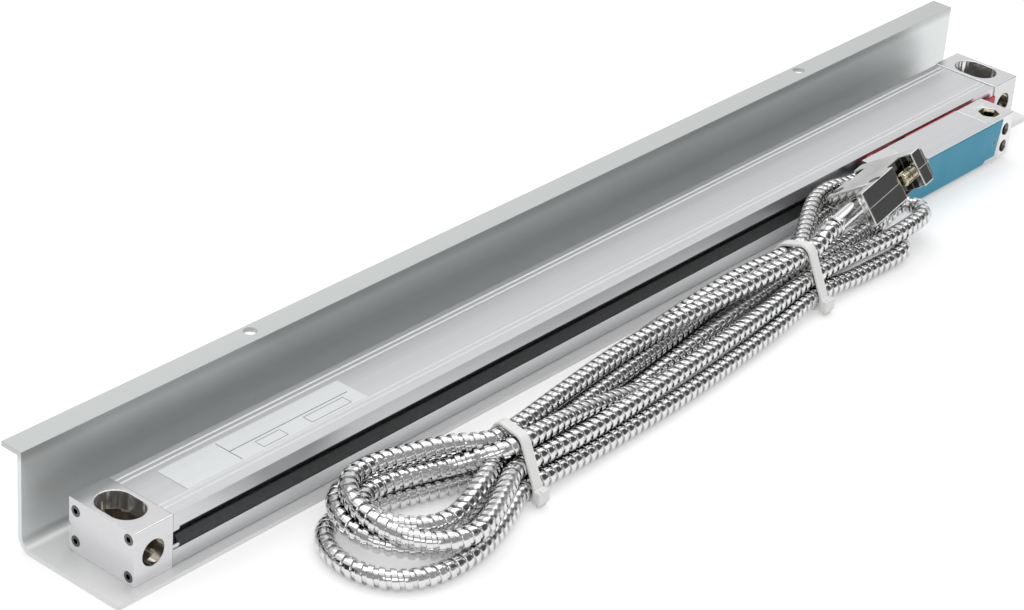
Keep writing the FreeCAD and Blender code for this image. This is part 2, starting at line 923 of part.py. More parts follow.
def carriage_frame():
    """Carriage: an upright spine with an arm over the glass, one under it and two lugs."""
    x0 = head_middle - carriage_length / 2.0
    spine = box(x0, x0 + carriage_length, spine_front, spine_back, spine_low, spine_high)
    arms = [arm(base + upper_arm_height), arm(base + lower_arm_height)]
    lug_z = base + lower_arm_height
    lugs = []
    for x in edge_bearings():
        lugs.append(box(x - edge_lug_length / 2.0, x + edge_lug_length / 2.0, spine_back,
                        edge_bearing_y() + edge_lug_margin, lug_z, lug_z + arm_thickness))
    frame = spine.fuse(arms + lugs).removeSplitter()
    cuts = []
    for x, depth in face_bearings():
        cuts.append(rod_y(x, spine_front, spine_back, face_bearing_z(), bearing_pin_r))
    for x in edge_bearings():
        cuts.append(rod_z(x, edge_bearing_y(), lug_z, lug_z + arm_thickness, bearing_pin_r))
    return frame.cut(cuts)


def bearing_pins():
    """Headed pins that carry the guide bearings."""
    pins = []
    gap = pin_side_clearance
    for x, depth in face_bearings():
        tip = depth + bearing_width + gap
        z = face_bearing_z()
        pin = rod_y(x, spine_front, tip, z, bearing_pin_r)
        head = rod_y(x, tip, tip + pin_head_height, z, pin_head_r)
        collar = rod_y(x, spine_back, depth - gap, z, pin_head_r)
        pins.append(pin.fuse([head, collar]).removeSplitter())
    for x in edge_bearings():
        y = edge_bearing_y()
        low = edge_bearing_z()
        lug_z = base + lower_arm_height
        tip = low + bearing_width + gap
        pin = rod_z(x, y, lug_z, tip, bearing_pin_r)
        head = rod_z(x, y, tip, tip + pin_head_height, pin_head_r)
        collar = rod_z(x, y, lug_z + arm_thickness, low - gap, pin_head_r)
        pins.append(pin.fuse([head, collar]).removeSplitter())
    return group(pins)


def face_bearing(index):
    """Bearing that rolls on the glass face, its axis along Y."""
    x, depth = face_bearings()[index]
    z = face_bearing_z()
    ring = rod_y(x, depth, depth + bearing_width, z, bearing_r)
    return ring.cut(rod_y(x, depth, depth + bearing_width, z, bearing_pin_r + bearing_bore_clearance))


def edge_bearing(index):
    """Bearing that rolls on the glass edge, its axis along Z."""
    x = edge_bearings()[index]
    y = edge_bearing_y()
    z = edge_bearing_z()
    ring = rod_z(x, y, z, z + bearing_width, bearing_r)
    return ring.cut(rod_z(x, y, z, z + bearing_width, bearing_pin_r + bearing_bore_clearance))


def arm_board(z0):
    """Small circuit board on an arm."""
    half = arm_length / 2.0 - board_margin
    middle = arm_middle()
    return box(middle - half, middle + half, spine_back + board_margin, arm_back,
               z0, z0 + board_thickness)


def window_y():
    """Middle of the arms' windows, across the scale."""
    return arm_back - arm_window_back - arm_window_width / 2.0


def led_board():
    """Lamp board on the upper arm, with its lamp shining down through the arm's window."""
    z0 = base + upper_arm_height + arm_thickness
    y = window_y()
    half = led_side / 2.0
    lamp = box(arm_middle() - half, arm_middle() + half, y - half, y + half, z0 - led_height, z0)
    return arm_board(z0).fuse(lamp)


def reticle_glass():
    """Small graduated glass close under the scale."""
    half = reticle_length / 2.0
    y1 = arm_back
    z0 = base + lower_arm_height + arm_thickness
    return box(arm_middle() - half, arm_middle() + half, y1 - reticle_width, y1, z0, z0 + reticle_thickness)


def photodiode_board():
    """Sensor board under the lower arm, its cells in the arm's window."""
    z1 = base + lower_arm_height
    cells = []
    first = arm_middle() - ((cell_count - 1) * cell_pitch + cell_length) / 2.0
    y0 = window_y() - cell_width / 2.0
    for step in range(cell_count):
        x0 = first + step * cell_pitch
        cells.append(box(x0, x0 + cell_length, y0, y0 + cell_width, z1, z1 + cell_height))
    return arm_board(z1 - board_thickness).fuse(cells)


def head_pcb():
    """Circuit board of the head on its two posts, with its larger chips."""
    y1 = head_back - head_wall - pcb_standoff
    y0 = y1 - pcb_thickness
    x0 = head_middle - pcb_length / 2.0
    z0 = base + pcb_bottom
    board = box(x0, x0 + pcb_length, y0, y1, z0, z0 + pcb_height)
    cx = head_middle + chip_place
    dx = head_middle + driver_place
    cz = z0 + chip_low
    dz = z0 + driver_low
    chip = box(cx, cx + chip_side, y0 - chip_thickness, y0, cz, cz + chip_tall)
    driver = box(dx, dx + driver_side, y0 - driver_thickness, y0, dz, dz + driver_tall)
    board = board.fuse([chip, driver])
    post_z = z0 + pcb_hole_inset
    return board.cut([rod_y(x, y0, y1, post_z, pcb_screw_r) for x in standoff_xs()])


def pcb_screws():
    """Two screws of the circuit board."""
    screws = []
    y0 = head_back - head_wall - pcb_standoff - pcb_thickness
    z = base + pcb_bottom + pcb_hole_inset
    for x in standoff_xs():
        head = rod_y(x, y0 - pcb_screw_head_height, y0, z, pcb_screw_head_r)
        shank = rod_y(x, y0, y0 + pcb_screw_length, z, pcb_screw_r)
        screws.append(head.fuse(shank).removeSplitter())
    return group(screws)


def lead_gland():
    """Collar where the armour meets the head, with its spigot in the left block."""
    collar = rod_x(head_left - gland_length, head_left, lead_y, lead_z, gland_r)
    spigot = rod_x(head_left, head_left + gland_spigot_length, lead_y, lead_z, gland_spigot_r)
    hole = rod_x(head_left - gland_length, head_left + gland_spigot_length, lead_y, lead_z, core_r)
    gland = collar.fuse(spigot).removeSplitter().cut(hole)
    return gland


def lead_core():
    """Inner cable from the gland to the circuit board's end."""
    return rod_x(head_left - gland_length, head_left - gland_length + core_length, lead_y, lead_z, core_r)


def transit_spacer():
    """Strip that keeps head and scale apart in transit: a rail with two raised parts and an end tab."""
    y0 = head_back
    y1 = y0 + spacer_thickness
    low = base + spacer_low
    mid = base + spacer_mid
    high = base + spacer_high
    x0 = head_left + spacer_start
    tab0 = head_right + spacer_end - spacer_tab_length
    rail = box(x0, tab0, y0, y1, low, mid)
    blob = box(x0, x0 + spacer_blob_length, y0, y1, low, high)
    strip0 = head_left + spacer_strip_start
    strip = box(strip0, strip0 + spacer_strip_length, y0, y1, low, high)
    tab = box(tab0, tab0 + spacer_tab_length, y0, y1, low - spacer_tab_drop, mid)
    return rail.fuse([blob, strip, tab]).removeSplitter()


def tube(points, r):
    """Round tube along straight runs joined by tangent arcs; prints the radii of the arcs."""
    marks = [V(*p) for p in points]
    runs = [(b - a).Length for a, b in zip(marks, marks[1:])]
    edges = []
    start = marks[0]
    radii = []
    for i in range(1, len(marks) - 1):
        into = (marks[i] - marks[i - 1]).normalize()
        out = (marks[i + 1] - marks[i]).normalize()
        cut = bend_share * min(runs[i - 1], runs[i])
        half_turn = into.getAngle(out) / 2.0
        radii.append(round(cut / math.tan(half_turn), 1))
        a = marks[i] - into * cut
        b = marks[i] + out * cut
        inward = (out - into).normalize()
        centre = marks[i] + inward * (cut / math.sin(half_turn))
        middle = centre - inward * (cut / math.tan(half_turn))
        edges.append(Part.makeLine(start, a))
        edges.append(Part.Arc(a, middle, b).toShape())
        start = b
    edges.append(Part.makeLine(start, marks[-1]))
    path = Part.Wire(edges)
    direction = (marks[1] - marks[0]).normalize()
    section = Part.Wire([Part.makeCircle(r, marks[0], direction)])
    solid = path.makePipeShell([section], True, False)
    length = path.Length
    print("cord radii", radii, "length", round(length, 1), "volume share",
          round(solid.Volume / (math.pi * r * r * length), 4))
    return solid


def cable_lead():
    """Armoured lead from the gland to the hank."""
    return beyond_hank(tube(lead_points, armour_d / 2.0))


def hank_outline(section, grow=0.0):
    """Outline of the hank at one section, as (y, z) points, grown outwards by a thickness."""
    place, back, front, low, top_back, top_front = section
    c = hank_corner_share * min(back - front, top_back - low, top_front - low)
    g = grow
    k = grow * math.tan(math.pi / 8.0)
    return [
        (front + c - k, low - g),
        (back - c + k, low - g),
        (back + g, low + c - k),
        (back + g, top_back - c + k),
        (back - c + k, top_back + g),
        (front + c - k, top_front + g),
        (front - g, top_front - c + k),
        (front - g, low + c - k),
    ]


def hank_end():
    """Flat end of the tied bundle, where the lead and the tail come out of it."""
    return hank_sections[-1][0]


def loft(sections):
    """Closed solid through a row of sections."""
    wires = []
    for section in sections:
        marks = [V(section[0], y, z) for y, z in hank_outline(section)]
        wires.append(Part.makePolygon(marks + marks[:1]))
    return Part.makeLoft(wires, True, True)


def cable_hank():
    """Closed outer shape of the folded hank: the tied bundle and the low loops at its right end."""
    return loft(hank_sections).fuse(loft(hank_loop_sections))


def beyond_hank(cord):
    """The part of a cord that lies outside the bundle's flat end."""
    b = cord.BoundBox
    return cord.common(box(hank_end(), b.XMax + overcut, b.YMin - overcut, b.YMax + overcut,
                           b.ZMin - overcut, b.ZMax + overcut))


def cable_tie(index):
    """Nylon tie round the hank, with its head and cut tail at the lower front."""
    section = hank_sections[tie_sections[index]]
    after = hank_sections[tie_sections[index] + 1]
    middle = (section[0] + after[0]) / 2.0
    x0 = middle - tie_width / 2.0
    x1 = middle + tie_width / 2.0
    band = prism_x(hank_outline(section, tie_thickness), x0, x1)
    band = band.cut(prism_x(hank_outline(section), x0, x1))
    front = section[2] - tie_thickness
    z0 = section[3] + tie_head_lift
    head = box(middle - tie_head_length / 2.0, middle + tie_head_length / 2.0,
               front - tie_head_depth, front, z0, z0 + tie_head_height)
    tail = box(x0, x1, front - tie_head_depth - tie_tail_length, front - tie_head_depth,
               z0 + tie_tail_lift, z0 + tie_tail_lift + tie_tail_thickness)
    return band.fuse([head, tail])


def plug_frame():
    """Placement of the connector: its own +X points out of the mating face, +Z out of the upper shell."""
    turn = FreeCAD.Rotation(plug_yaw, -plug_pitch, plug_roll)
    return FreeCAD.Placement(plug_place, turn)


def on_plug(shape):
    placed = shape.copy()
    placed.Placement = plug_frame().multiply(placed.Placement)
    return placed


def plug_back():
    """Place of the hood's cable end along the connector's own axis."""
    return -(plug_block + plug_body_length)


def thumb_recess(side):
    """Space beside the hood for a thumbscrew's knob."""
    x1 = -plug_block
    x0 = x1 - thumb_gap - thumb_knob_length - thumb_end_gap
    y = side * thumb_spacing / 2.0
    inner = abs(y) - thumb_knob_r - thumb_gap
    y0 = min(side * inner, side * plug_width)
    y1 = max(side * inner, side * plug_width)
    return box(x0, x1, y0, y1, -plug_thickness, plug_thickness)


def hood_outline():
    """Plan of the hood, from the mating block to the cable end, with a wing beside the ferrule."""
    block = plug_width / 2.0
    body = plug_body_width / 2.0
    wing = plug_back() - plug_wing_length
    inner = plug_wing_width - body
    right = [(0, -block), (-plug_block, -block), (-plug_block, -body), (wing, -body)]
    middle = [(wing, inner), (plug_back(), inner)]
    left = [(plug_back(), body), (-plug_block, body), (-plug_block, block), (0, block)]
    return right + middle + left


def plug_hood(upper):
    """One half shell of the hood."""
    half = plug_thickness / 2.0
    z0 = 0.0 if upper else -half
    shell = prism_z(hood_outline(), z0, z0 + half)
    inner = plug_body_width / 2.0 - plug_side_wall
    hollow0 = plug_back() + plug_wall
    hollow_half = half - plug_wall
    cuts = [
        box(hollow0, -insulator_depth, -inner, inner, -hollow_half, hollow_half),
        prism_x(shroud_outline(-shroud_wall), -insulator_depth, 0),
        rod_x(plug_back(), hollow0, 0, 0, ferrule_r),
    ]
    for side in (-1, 1):
        cuts.append(thumb_recess(side))
        cuts.append(rod_x(-plug_block, 0, side * thumb_spacing / 2.0, 0, thumb_shaft_r + thumb_clearance))
        y = side * hood_screw_side
        cuts.append(rod_z(-hood_screw_place, y, -half, half, hood_screw_r))
        cuts.append(rod_z(-hood_screw_place, y, half - hood_screw_head_height, half, hood_screw_head_r))
    return on_plug(shell.cut(cuts))


def shroud_outline(grow):
    """D-shaped outline of the metal shroud, as (y, z) points."""
    half = shroud_width / 2.0 + grow
    tall = shroud_height / 2.0 + grow
    return [(-half, tall), (half, tall), (half - shroud_slope, -tall), (-half + shroud_slope, -tall)]


def plug_shell():
    """Metal flange and D-shaped shroud."""
    half = plug_width / 2.0
    tall = flange_height / 2.0
    flange = box(0, flange_thickness, -half, half, -tall, tall)
    shroud = prism_x(shroud_outline(0.0), 0, flange_thickness + shroud_length)
    shell = flange.fuse(shroud)
    cuts = [prism_x(shroud_outline(-shroud_wall), 0, flange_thickness + shroud_length)]
    for side in (-1, 1):
        y = side * thumb_spacing / 2.0
        cuts.append(rod_x(0, flange_thickness, y, 0, thumb_shaft_r + thumb_clearance))
    return on_plug(shell.cut(cuts))


def pin_places():
    """Places of the nine contacts, five above and four below, as (y, z)."""
    places = []
    for count, row in zip(pin_counts, (pin_row_gap / 2.0, -pin_row_gap / 2.0)):
        for i in range(count):
            places.append(((i - (count - 1) / 2.0) * pin_pitch, row))
    return places


def plug_insulator():
    """Moulded block that holds the contacts."""
    block = prism_x(shroud_outline(-shroud_wall), -insulator_depth, flange_thickness)
    holes = [rod_x(-insulator_depth, flange_thickness, y, z, pin_r) for y, z in pin_places()]
    return on_plug(block.cut(holes))


def plug_pins():
    """Nine round contacts."""
    x0 = -insulator_depth - pin_tail
    return on_plug(group([rod_x(x0, pin_reach, y, z, pin_r) for y, z in pin_places()]))


def thumbscrew(side):
    """Knurled screw at one side of the hood."""
    y = side * thumb_spacing / 2.0
    x1 = -plug_block - thumb_gap
    knob = rod_x(x1 - thumb_knob_length, x1, y, 0, thumb_knob_r)
    shaft = rod_x(x1, thumb_reach, y, 0, thumb_shaft_r)
    return on_plug(knob.fuse(shaft).removeSplitter())


def hood_screws():
    """Two screws that close the hood."""
    half = plug_thickness / 2.0
    screws = []
    for side in (-1, 1):
        y = side * hood_screw_side
        head = rod_z(-hood_screw_place, y, half - hood_screw_head_height, half, hood_screw_head_r)
        shank = rod_z(-hood_screw_place, y, -half, half - hood_screw_head_height, hood_screw_r)
        screws.append(head.fuse(shank).removeSplitter())
    return on_plug(group(screws))


def ferrule_end():
    """Outer end of the ferrule along the connector's axis."""
    return plug_back() - ferrule_length - ferrule_ring_length


def cable_ferrule():
    """Smooth ferrule between the hood and the armour, with a ring at its end."""
    x1 = plug_back() + ferrule_hold
    body = rod_x(ferrule_end() + ferrule_ring_length, x1, 0, 0, ferrule_r)
    ring = rod_x(ferrule_end(), ferrule_end() + ferrule_ring_length, 0, 0, ferrule_ring_r)
    hole = rod_x(ferrule_end() + ferrule_ring_length, x1, 0, 0, core_r)
    return on_plug(body.fuse(ring).removeSplitter().cut(hole))


def cable_tail():
    """Last straight piece of armour, from the hank to the ferrule."""
    end = plug_frame().multVec(V(ferrule_end(), 0, 0))
    axis = plug_frame().Rotation.multVec(V(1, 0, 0))
    reach = (end.x - hank_end() + armour_d) / axis.x
    start = end - axis * reach
    return beyond_hank(Part.makeCylinder(armour_d / 2.0, reach, start, axis))


parts = {
    "dust_guard": dust_guard(),
    "scale_housing": scale_housing(),
    "left_end_cap": end_cap(-1),
    "right_end_cap": end_cap(1),
    "left_cap_gasket": cap_gasket(-1),
    "right_cap_gasket": cap_gasket(1),
    "left_cap_screws": cap_screws(-1),
    "right_cap_screws": cap_screws(1),
    "upper_seal_lip": seal_lip(True),
    "lower_seal_lip": seal_lip(False),
    "glass_scale": glass_scale(),
    "glass_cushion_strip": glass_cushion_strip(),
    "info_label": info_label(),
    "head_housing": head_housing(),
    "left_mount_block": mount_block(-1),
    "right_mount_block": mount_block(1),
    "block_screws": block_screws(),
    "head_front_plate": head_front_plate(),
    "blue_cover_film": blue_cover_film(),
    "cover_screws": cover_screws(),
    "coupling_blade": coupling_blade(),
    "blade_screws": blade_screws(),
    "coupling_spring": coupling_spring(),
    "carriage_frame": carriage_frame(),
    "bearing_pins": bearing_pins(),
    "face_bearing_1": face_bearing(0),
    "face_bearing_2": face_bearing(1),
    "face_bearing_3": face_bearing(2),
    "edge_bearing_1": edge_bearing(0),
    "edge_bearing_2": edge_bearing(1),
    "led_board": led_board(),
    "reticle_glass": reticle_glass(),
    "photodiode_board": photodiode_board(),
    "head_pcb": head_pcb(),
    "pcb_screws": pcb_screws(),
    "lead_gland": lead_gland(),
    "lead_core": lead_core(),
    "transit_spacer": transit_spacer(),
    "cable_lead": cable_lead(),
    "cable_hank": cable_hank(),
    "cable_tail": cable_tail(),
    "cable_tie_left": cable_tie(0),
    "cable_tie_right": cable_tie(1),
    "cable_ferrule": cable_ferrule(),
    "plug_hood_upper": plug_hood(True),
    "plug_hood_lower": plug_hood(False),
    "plug_shell": plug_shell(),
    "plug_insulator": plug_insulator(),
    "plug_pins": plug_pins(),
    "hood_screws": hood_screws(),
    "thumbscrew_left": thumbscrew(-1),
    "thumbscrew_right": thumbscrew(1),
}

os.makedirs("parts", exist_ok=True)
for name, shape in parts.items():
    shape.exportStep("parts/" + name + ".step")
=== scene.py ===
import json
import math

import bmesh
import bpy
from bpy.props import FloatProperty, FloatVectorProperty, IntProperty, PointerProperty
from mathutils import Matrix, Vector


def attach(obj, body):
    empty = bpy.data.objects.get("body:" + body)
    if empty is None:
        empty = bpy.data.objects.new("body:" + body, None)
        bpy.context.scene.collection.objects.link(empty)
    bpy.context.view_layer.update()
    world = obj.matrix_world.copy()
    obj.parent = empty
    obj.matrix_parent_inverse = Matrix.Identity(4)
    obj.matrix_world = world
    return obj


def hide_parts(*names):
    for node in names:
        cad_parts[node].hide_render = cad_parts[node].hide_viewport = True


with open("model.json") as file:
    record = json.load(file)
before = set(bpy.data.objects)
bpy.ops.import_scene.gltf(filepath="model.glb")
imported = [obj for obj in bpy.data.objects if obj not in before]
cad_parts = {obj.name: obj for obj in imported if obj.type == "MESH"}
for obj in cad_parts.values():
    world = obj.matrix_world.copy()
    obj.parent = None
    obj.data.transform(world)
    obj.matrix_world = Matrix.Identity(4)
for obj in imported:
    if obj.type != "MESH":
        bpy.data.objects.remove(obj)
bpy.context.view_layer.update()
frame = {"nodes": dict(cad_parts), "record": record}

bl_info = {
    "name": "Linear scale dresser",
    "version": (1, 0, 0),
    "blender": (4, 5, 0),
    "location": "View3D > Sidebar > Linear scale",
    "description": "Dresses the packed model of a linear scale with its cable, ties, connector and finishes",
    "category": "Object",
}

MM = 0.001
HEAD = "reading_head"


def mm(*numbers):
    """A point given in millimetres."""
    return Vector(numbers) * MM


# The cable's route, in millimetres.
LEAD = [(140, -6, 17.8), (131, -6, 17.8), (120, -4.6, 19.6), (108, -5.8, 19.7), (97, -10.6, 19.5),
        (86.5, -16.4, 18.9), (77, -21.4, 18.4)]
TAIL = [(78, -31.4, 23.9), (85.2, -30.6, 24.5)]
# Places of the eight runs in the left tie and in the right tie, as (y, z).
LEFT_TIE = {
    "inner back": (-37.4, 5.3), "inner": (-45.0, 5.3), "inner front": (-52.6, 5.3),
    "back": (-33.6, 11.9), "middle": (-41.2, 11.9), "front": (-48.9, 12.2),
    "top back": (-37.5, 18.5), "top front": (-45.1, 18.6),
}
RIGHT_TIE = {
    "inner back": (-25.7, 5.2), "inner": (-33.3, 5.2), "inner front": (-40.6, 5.6),
    "back": (-21.9, 11.7), "middle": (-29.5, 11.7), "front": (-37.2, 12.2),
    "lead": (-25.3, 18.2), "tail": (-33.0, 21.0),
}
# Each run from tie to tie: its place in the left tie, its points between them, its place in the right tie.
RUNS = [
    ("back", [(-90, -28.5, 10.5), (-35, -21.8, 11.3), (25, -23, 18.6)], "lead"),
    ("inner", [(-90, -41.2, 3.9), (-35, -33, 3.8), (25, -30.8, 9.5)], "middle"),
    ("middle", [(-90, -36.5, 11.2), (-35, -29.5, 10.8), (25, -22.7, 11.5)], "back"),
    ("top front", [(-90, -42.5, 15.2), (-35, -41.5, 4.6), (25, -36.5, 3.9)], "inner"),
    ("inner front", [(-90, -52, 3.9), (-35, -50.5, 3.8), (25, -45, 3.9)], "inner front"),
    ("inner back", [(-90, -32.5, 3.9), (-35, -24.3, 3.8), (25, -23.5, 3.9)], "inner back"),
    ("front", [(-90, -49.8, 11), (-35, -46.3, 10.9), (25, -41, 10.8)], "front"),
    ("top back", [(-90, -33.2, 18.3), (-35, -26.8, 17.8), (25, -30.6, 18.9)], "tail"),
]
# The loops past the left tie, from the back run round to the front run.
LEFT_LOOPS = [
    [(-146, -25.5, 9), (-160, -18.5, 6), (-175, -13.6, 7.4), (-186, -13.8, 10.4), (-194.5, -19.5, 11.4),
     (-200, -28.8, 10.8), (-200.4, -38.8, 9.2), (-195, -47.2, 7.2), (-187, -53.4, 5), (-177, -57.8, 4),
     (-163, -55.6, 4), (-147, -50.6, 4.3)],
    [(-146, -31.5, 11.3), (-160, -26.4, 11.5), (-174, -22.6, 11.6), (-185.5, -23.2, 12),
     (-192.5, -31.5, 12.5), (-192, -41.5, 12.4), (-185.5, -50, 11.8), (-175.5, -54.6, 11.8),
     (-164, -53.4, 13), (-149, -48.4, 14.6)],
    [(-144, -33.4, 4.1), (-160, -27.8, 3.9), (-178, -21.6, 3.9), (-194, -18.4, 3.9), (-204.5, -23.5, 3.9),
     (-210.5, -34.5, 3.9), (-211, -47.5, 3.9), (-205.5, -58.8, 3.9), (-196, -65, 3.9), (-184, -66.9, 3.9),
     (-171, -66.2, 3.9), (-158, -62.6, 3.9), (-145, -57.8, 4.3)],
    [(-145, -28.3, 18.4), (-158, -22.6, 17.6), (-172, -17.4, 17.2), (-184.5, -17.2, 17.4),
     (-193, -23.6, 17.2), (-197.6, -35.4, 15.8), (-195.6, -49.4, 13.2), (-189.6, -58.6, 12), (-181, -65, 12),
     (-170, -66, 12), (-158, -61.4, 12.2), (-143.5, -54.4, 12.6)],
]
# The loops past the right tie, from the back run round to the front run.
RIGHT_LOOPS = [
    [(80, -17.3, 11.8), (92, -13.2, 12), (104, -9.2, 11.9), (117, -7, 11), (129, -7.2, 10.2),
     (138.5, -11.5, 9.8), (138, -20, 9.8), (128, -25.2, 10.8), (113, -28, 11.5), (98, -29.4, 11.6),
     (84, -30, 11.7)],
    [(82, -30.8, 4.4), (96, -29.8, 3.9), (110, -29, 3.9), (117.5, -28.6, 4.2), (124.5, -29.6, 4.8),
     (127.6, -35.4, 5), (124, -41.2, 4.8), (116, -42.6, 4.2), (104, -41.6, 3.9), (90, -41.4, 4),
     (80, -40.8, 4.6)],
    [(82, -22, 4.3), (96, -20.4, 3.9), (112, -21.8, 3.9), (121, -23.4, 5), (129, -24.2, 7),
     (136.5, -23.8, 9.6), (144, -23.6, 11.4), (147.6, -29.8, 12), (144.6, -36.4, 12), (137, -38.2, 12),
     (128, -38.8, 12), (118, -39.2, 12), (106, -38.8, 12), (92, -37.4, 12), (80, -36.8, 12.2)],
]
# Where the runs enter and leave the bundle at each tie, along x.
LEFT_TIE_X = (-134, -120)
RIGHT_TIE_X = (57, 71)
# Each band's middle along x, and how far it leans along x for one across y.
LEFT_BAND = (sum(LEFT_TIE_X) / 2, 0.2)
RIGHT_BAND = (sum(RIGHT_TIE_X) / 2 - 2.5, 0.05)
# The ties' gap to the cable, the rounding of the band and the height of the head's middle, in millimetres.
TIE_GAP = 0.1
TIE_CORNER = 0.3
TIE_HEAD_Z = 4.4
# The cable's outer diameter in millimetres, and the number of pieces its armour is made in.
CORD_D = 7.6
ARMOUR_PIECES = 4
# Middles of the narrow grooves in the top of the case, across it, where a pale highlight is painted.
CASE_GROOVES = (5.4, 7.7, 26.4, 28.7)
GROOVE_HALF = 0.42
# Heights between which the guard's wall turns to its floor, painted paler and less metallic as painted
# light, and to its upper flange, painted darker as painted shade.
GUARD_FLOOR = (4.5, 1.9)
GUARD_FLANGE = (35, 38)
# Where the film is raised over the plate's screws, with a painted highlight in a pale ring round each bump.
FILM_BUMPS = (mm(159.5, -19.3, 12.0), mm(224.5, -19.3, 12.0))
# The label's ruling: a long line and a short one that cross, and cells under the long one, all as spans.
RULE_Y = 15.6
RULE_X_SPAN = (-211, -152)
RULE_Y_SPAN = (9.2, 22.4)
CELL_X_SPANS = ((-200, -188), (-176, -156))
CELL_Y_SPAN = (9.6, 14.0)
RULE_HALF = 0.16
CELL_HALF = 0.12
# The connector's own place and directions: out of its mating face and out of its upper shell.
PLUG_PLACE = mm(137.7, -24.4, 29.0)
PLUG_AXIS = Vector((0.989541, 0.116244, 0.085417))
PLUG_TOP = Vector((-0.136, 0.559, 0.818))
THUMB_SIDES = (-12.5, 12.5)
# Hollows, as two corners in millimetres, over which a colour is painted: the well of a cap, painted white as
# a painted reflection, and the pocket below it, painted darker as painted shade; the holes of the head's
# blocks, painted dark as painted shade, and their nut pockets, painted a pale warm cream; and the recess of
# a thumbscrew in the connector's own directions, painted dark as painted shade.
CAP_WELL = ((252.6, 0.2, 2.0), (269.8, 31.9, 23.15))
CAP_POCKET = ((252.6, 0.2, 2.0), (269.8, 31.9, 15.6))
BLOCK_HOLES = ((146.2, -18.6, 2.3), (237.8, -1.7, 18.2))
NUT_POCKETS = ((146.2, -18.6, 18.2), (237.8, -1.7, 22.6))
THUMB_RECESS = ((-16.9, 8.8, -9.0), (-6.9, 12.4, 9.0))
# The photograph's camera: its place in metres, its right and its up, and its lens in millimetres.
VIEW_PLACE = (-0.8450, -0.6072, 0.5875)
VIEW_RIGHT = (0.6515, -0.7552, 0.0715)
VIEW_UP = (0.3316, 0.3683, 0.8685)
VIEW_LENS = 106.59
# The room as shiny surfaces see it: directions with outer and inner angle in degrees and a strength, first
# the bright patches, which are added, then the dark ones, which take that share away.
ROOM_LEVEL = 0.32
BRIGHT_PATCHES = (
    ((0.70, 0.50, 0.50), 34, 18, 0.37), ((0.70, 0.70, 0.12), 22, 10, 0.30),
    ((0.68, 0.08, 0.74), 18, 11, 0.75), ((0, 0, 1), 36, 20, 0.55), ((-0.30, 0.60, 0.75), 20, 12, 0.5))
DARK_PATCHES = (((0.72, -0.48, 0.45), 24, 17, 0.78), ((-0.76, 0.54, 0.34), 24, 16, 0.9))


class ScaleCable(bpy.types.PropertyGroup):
    """Sizes of the armoured cable."""
    pitch: FloatProperty(name="Pitch", description="Advance of the wound strip in one turn",
                         default=3.9 * MM, unit="LENGTH")
    groove: FloatProperty(name="Groove radius", description="Radius at the bottom of the groove",
                          default=3.0 * MM, unit="LENGTH")
    rib: FloatProperty(name="Rib height", description="Height of the rib over the groove",
                       default=0.8 * MM, unit="LENGTH")
    core: FloatProperty(name="Core radius", description="Radius of the cable inside the armour",
                        default=2.95 * MM, unit="LENGTH")
    sides: IntProperty(name="Sides", description="Faces round one turn of the strip", default=18, min=8)


class ScaleTie(bpy.types.PropertyGroup):
    """Sizes of the nylon ties."""
    width: FloatProperty(name="Width", description="Width of the band", default=4.7 * MM, unit="LENGTH")
    thickness: FloatProperty(name="Thickness", description="Thickness of the band",
                             default=1.3 * MM, unit="LENGTH")
    head: FloatVectorProperty(name="Head", description="Length, depth and height of the tie's head",
                              default=(6.0 * MM, 3.8 * MM, 5.2 * MM), size=3, unit="LENGTH")


class ScaleColours(bpy.types.PropertyGroup):
    """Colours a user may change."""
    film: FloatVectorProperty(name="Film", description="Colour of the film on the reading head",
                              default=(0.010, 0.305, 0.47), size=3, subtype="COLOR")
    spacer: FloatVectorProperty(name="Spacer", description="Colour of the transit spacer",
                                default=(0.52, 0.03, 0.055), size=3, subtype="COLOR")
    metal: FloatVectorProperty(name="Aluminium", description="Colour of the anodised parts",
                               default=(0.80, 0.81, 0.82), size=3, subtype="COLOR")


class Value:
    """One output socket, with arithmetic that adds Math nodes."""

    def __init__(self, nodes, socket):
        self.nodes = nodes
        self.socket = socket

    def maths(self, operation, *others):
        """A Math node that takes this value first."""
        return self.nodes.node("ShaderNodeMath", {"operation": operation}, dict(enumerate((self, *others))))

    def __add__(self, other):
        return self.maths("ADD", other)

    __radd__ = __add__

    def __sub__(self, other):
        return self.maths("SUBTRACT", other)

    def __rsub__(self, other):
        return self.nodes.node("ShaderNodeMath", {"operation": "SUBTRACT"}, {0: other, 1: self})

    def __mul__(self, other):
        return self.maths("MULTIPLY", other)

    __rmul__ = __mul__


class Nodes:
    """A node tree under construction."""

    def __init__(self, tree):
        self.tree = tree

    def node(self, kind, settings, inputs, output=0):
        made = self.tree.nodes.new(kind)
        for key, setting in settings.items():
            if key == "curve":
                self.bend(made.mapping, setting)
            else:
                setattr(made, key, setting)
        for key, given in inputs.items():
            self.feed(made.inputs[key], given)
        return Value(self, made.outputs[output]) if made.outputs else None

    def bend(self, mapping, marks):
        curve = mapping.curves[0]
        for x, y in marks[1:-1]:
            curve.points.new(x, y)
        for point, (x, y) in zip(curve.points, marks):
            point.location = (x, y)
            point.handle_type = "VECTOR"
        mapping.update()

    def feed(self, socket, given):
        if isinstance(given, Value):
            self.tree.links.new(given.socket, socket)
        else:
            socket.default_value = given

    def other(self, value, name):
        """Another output of the node that a value comes from."""
        return Value(self, value.socket.node.outputs[name])

    def parts(self, place):
        """The x, y and z of a vector."""
        x = self.node("ShaderNodeSeparateXYZ", {}, {0: place}, "X")
        return x, self.other(x, "Y"), self.other(x, "Z")

    def vector(self, operation, *terms, output=0):
        """A Vector Math node."""
        return self.node("ShaderNodeVectorMath", {"operation": operation}, dict(enumerate(terms)), output)

    def rise(self, value, start, end):
        """0 to 1 as a value goes from start to end."""
        return self.node("ShaderNodeMapRange", {}, {"Value": value, "From Min": start, "From Max": end})


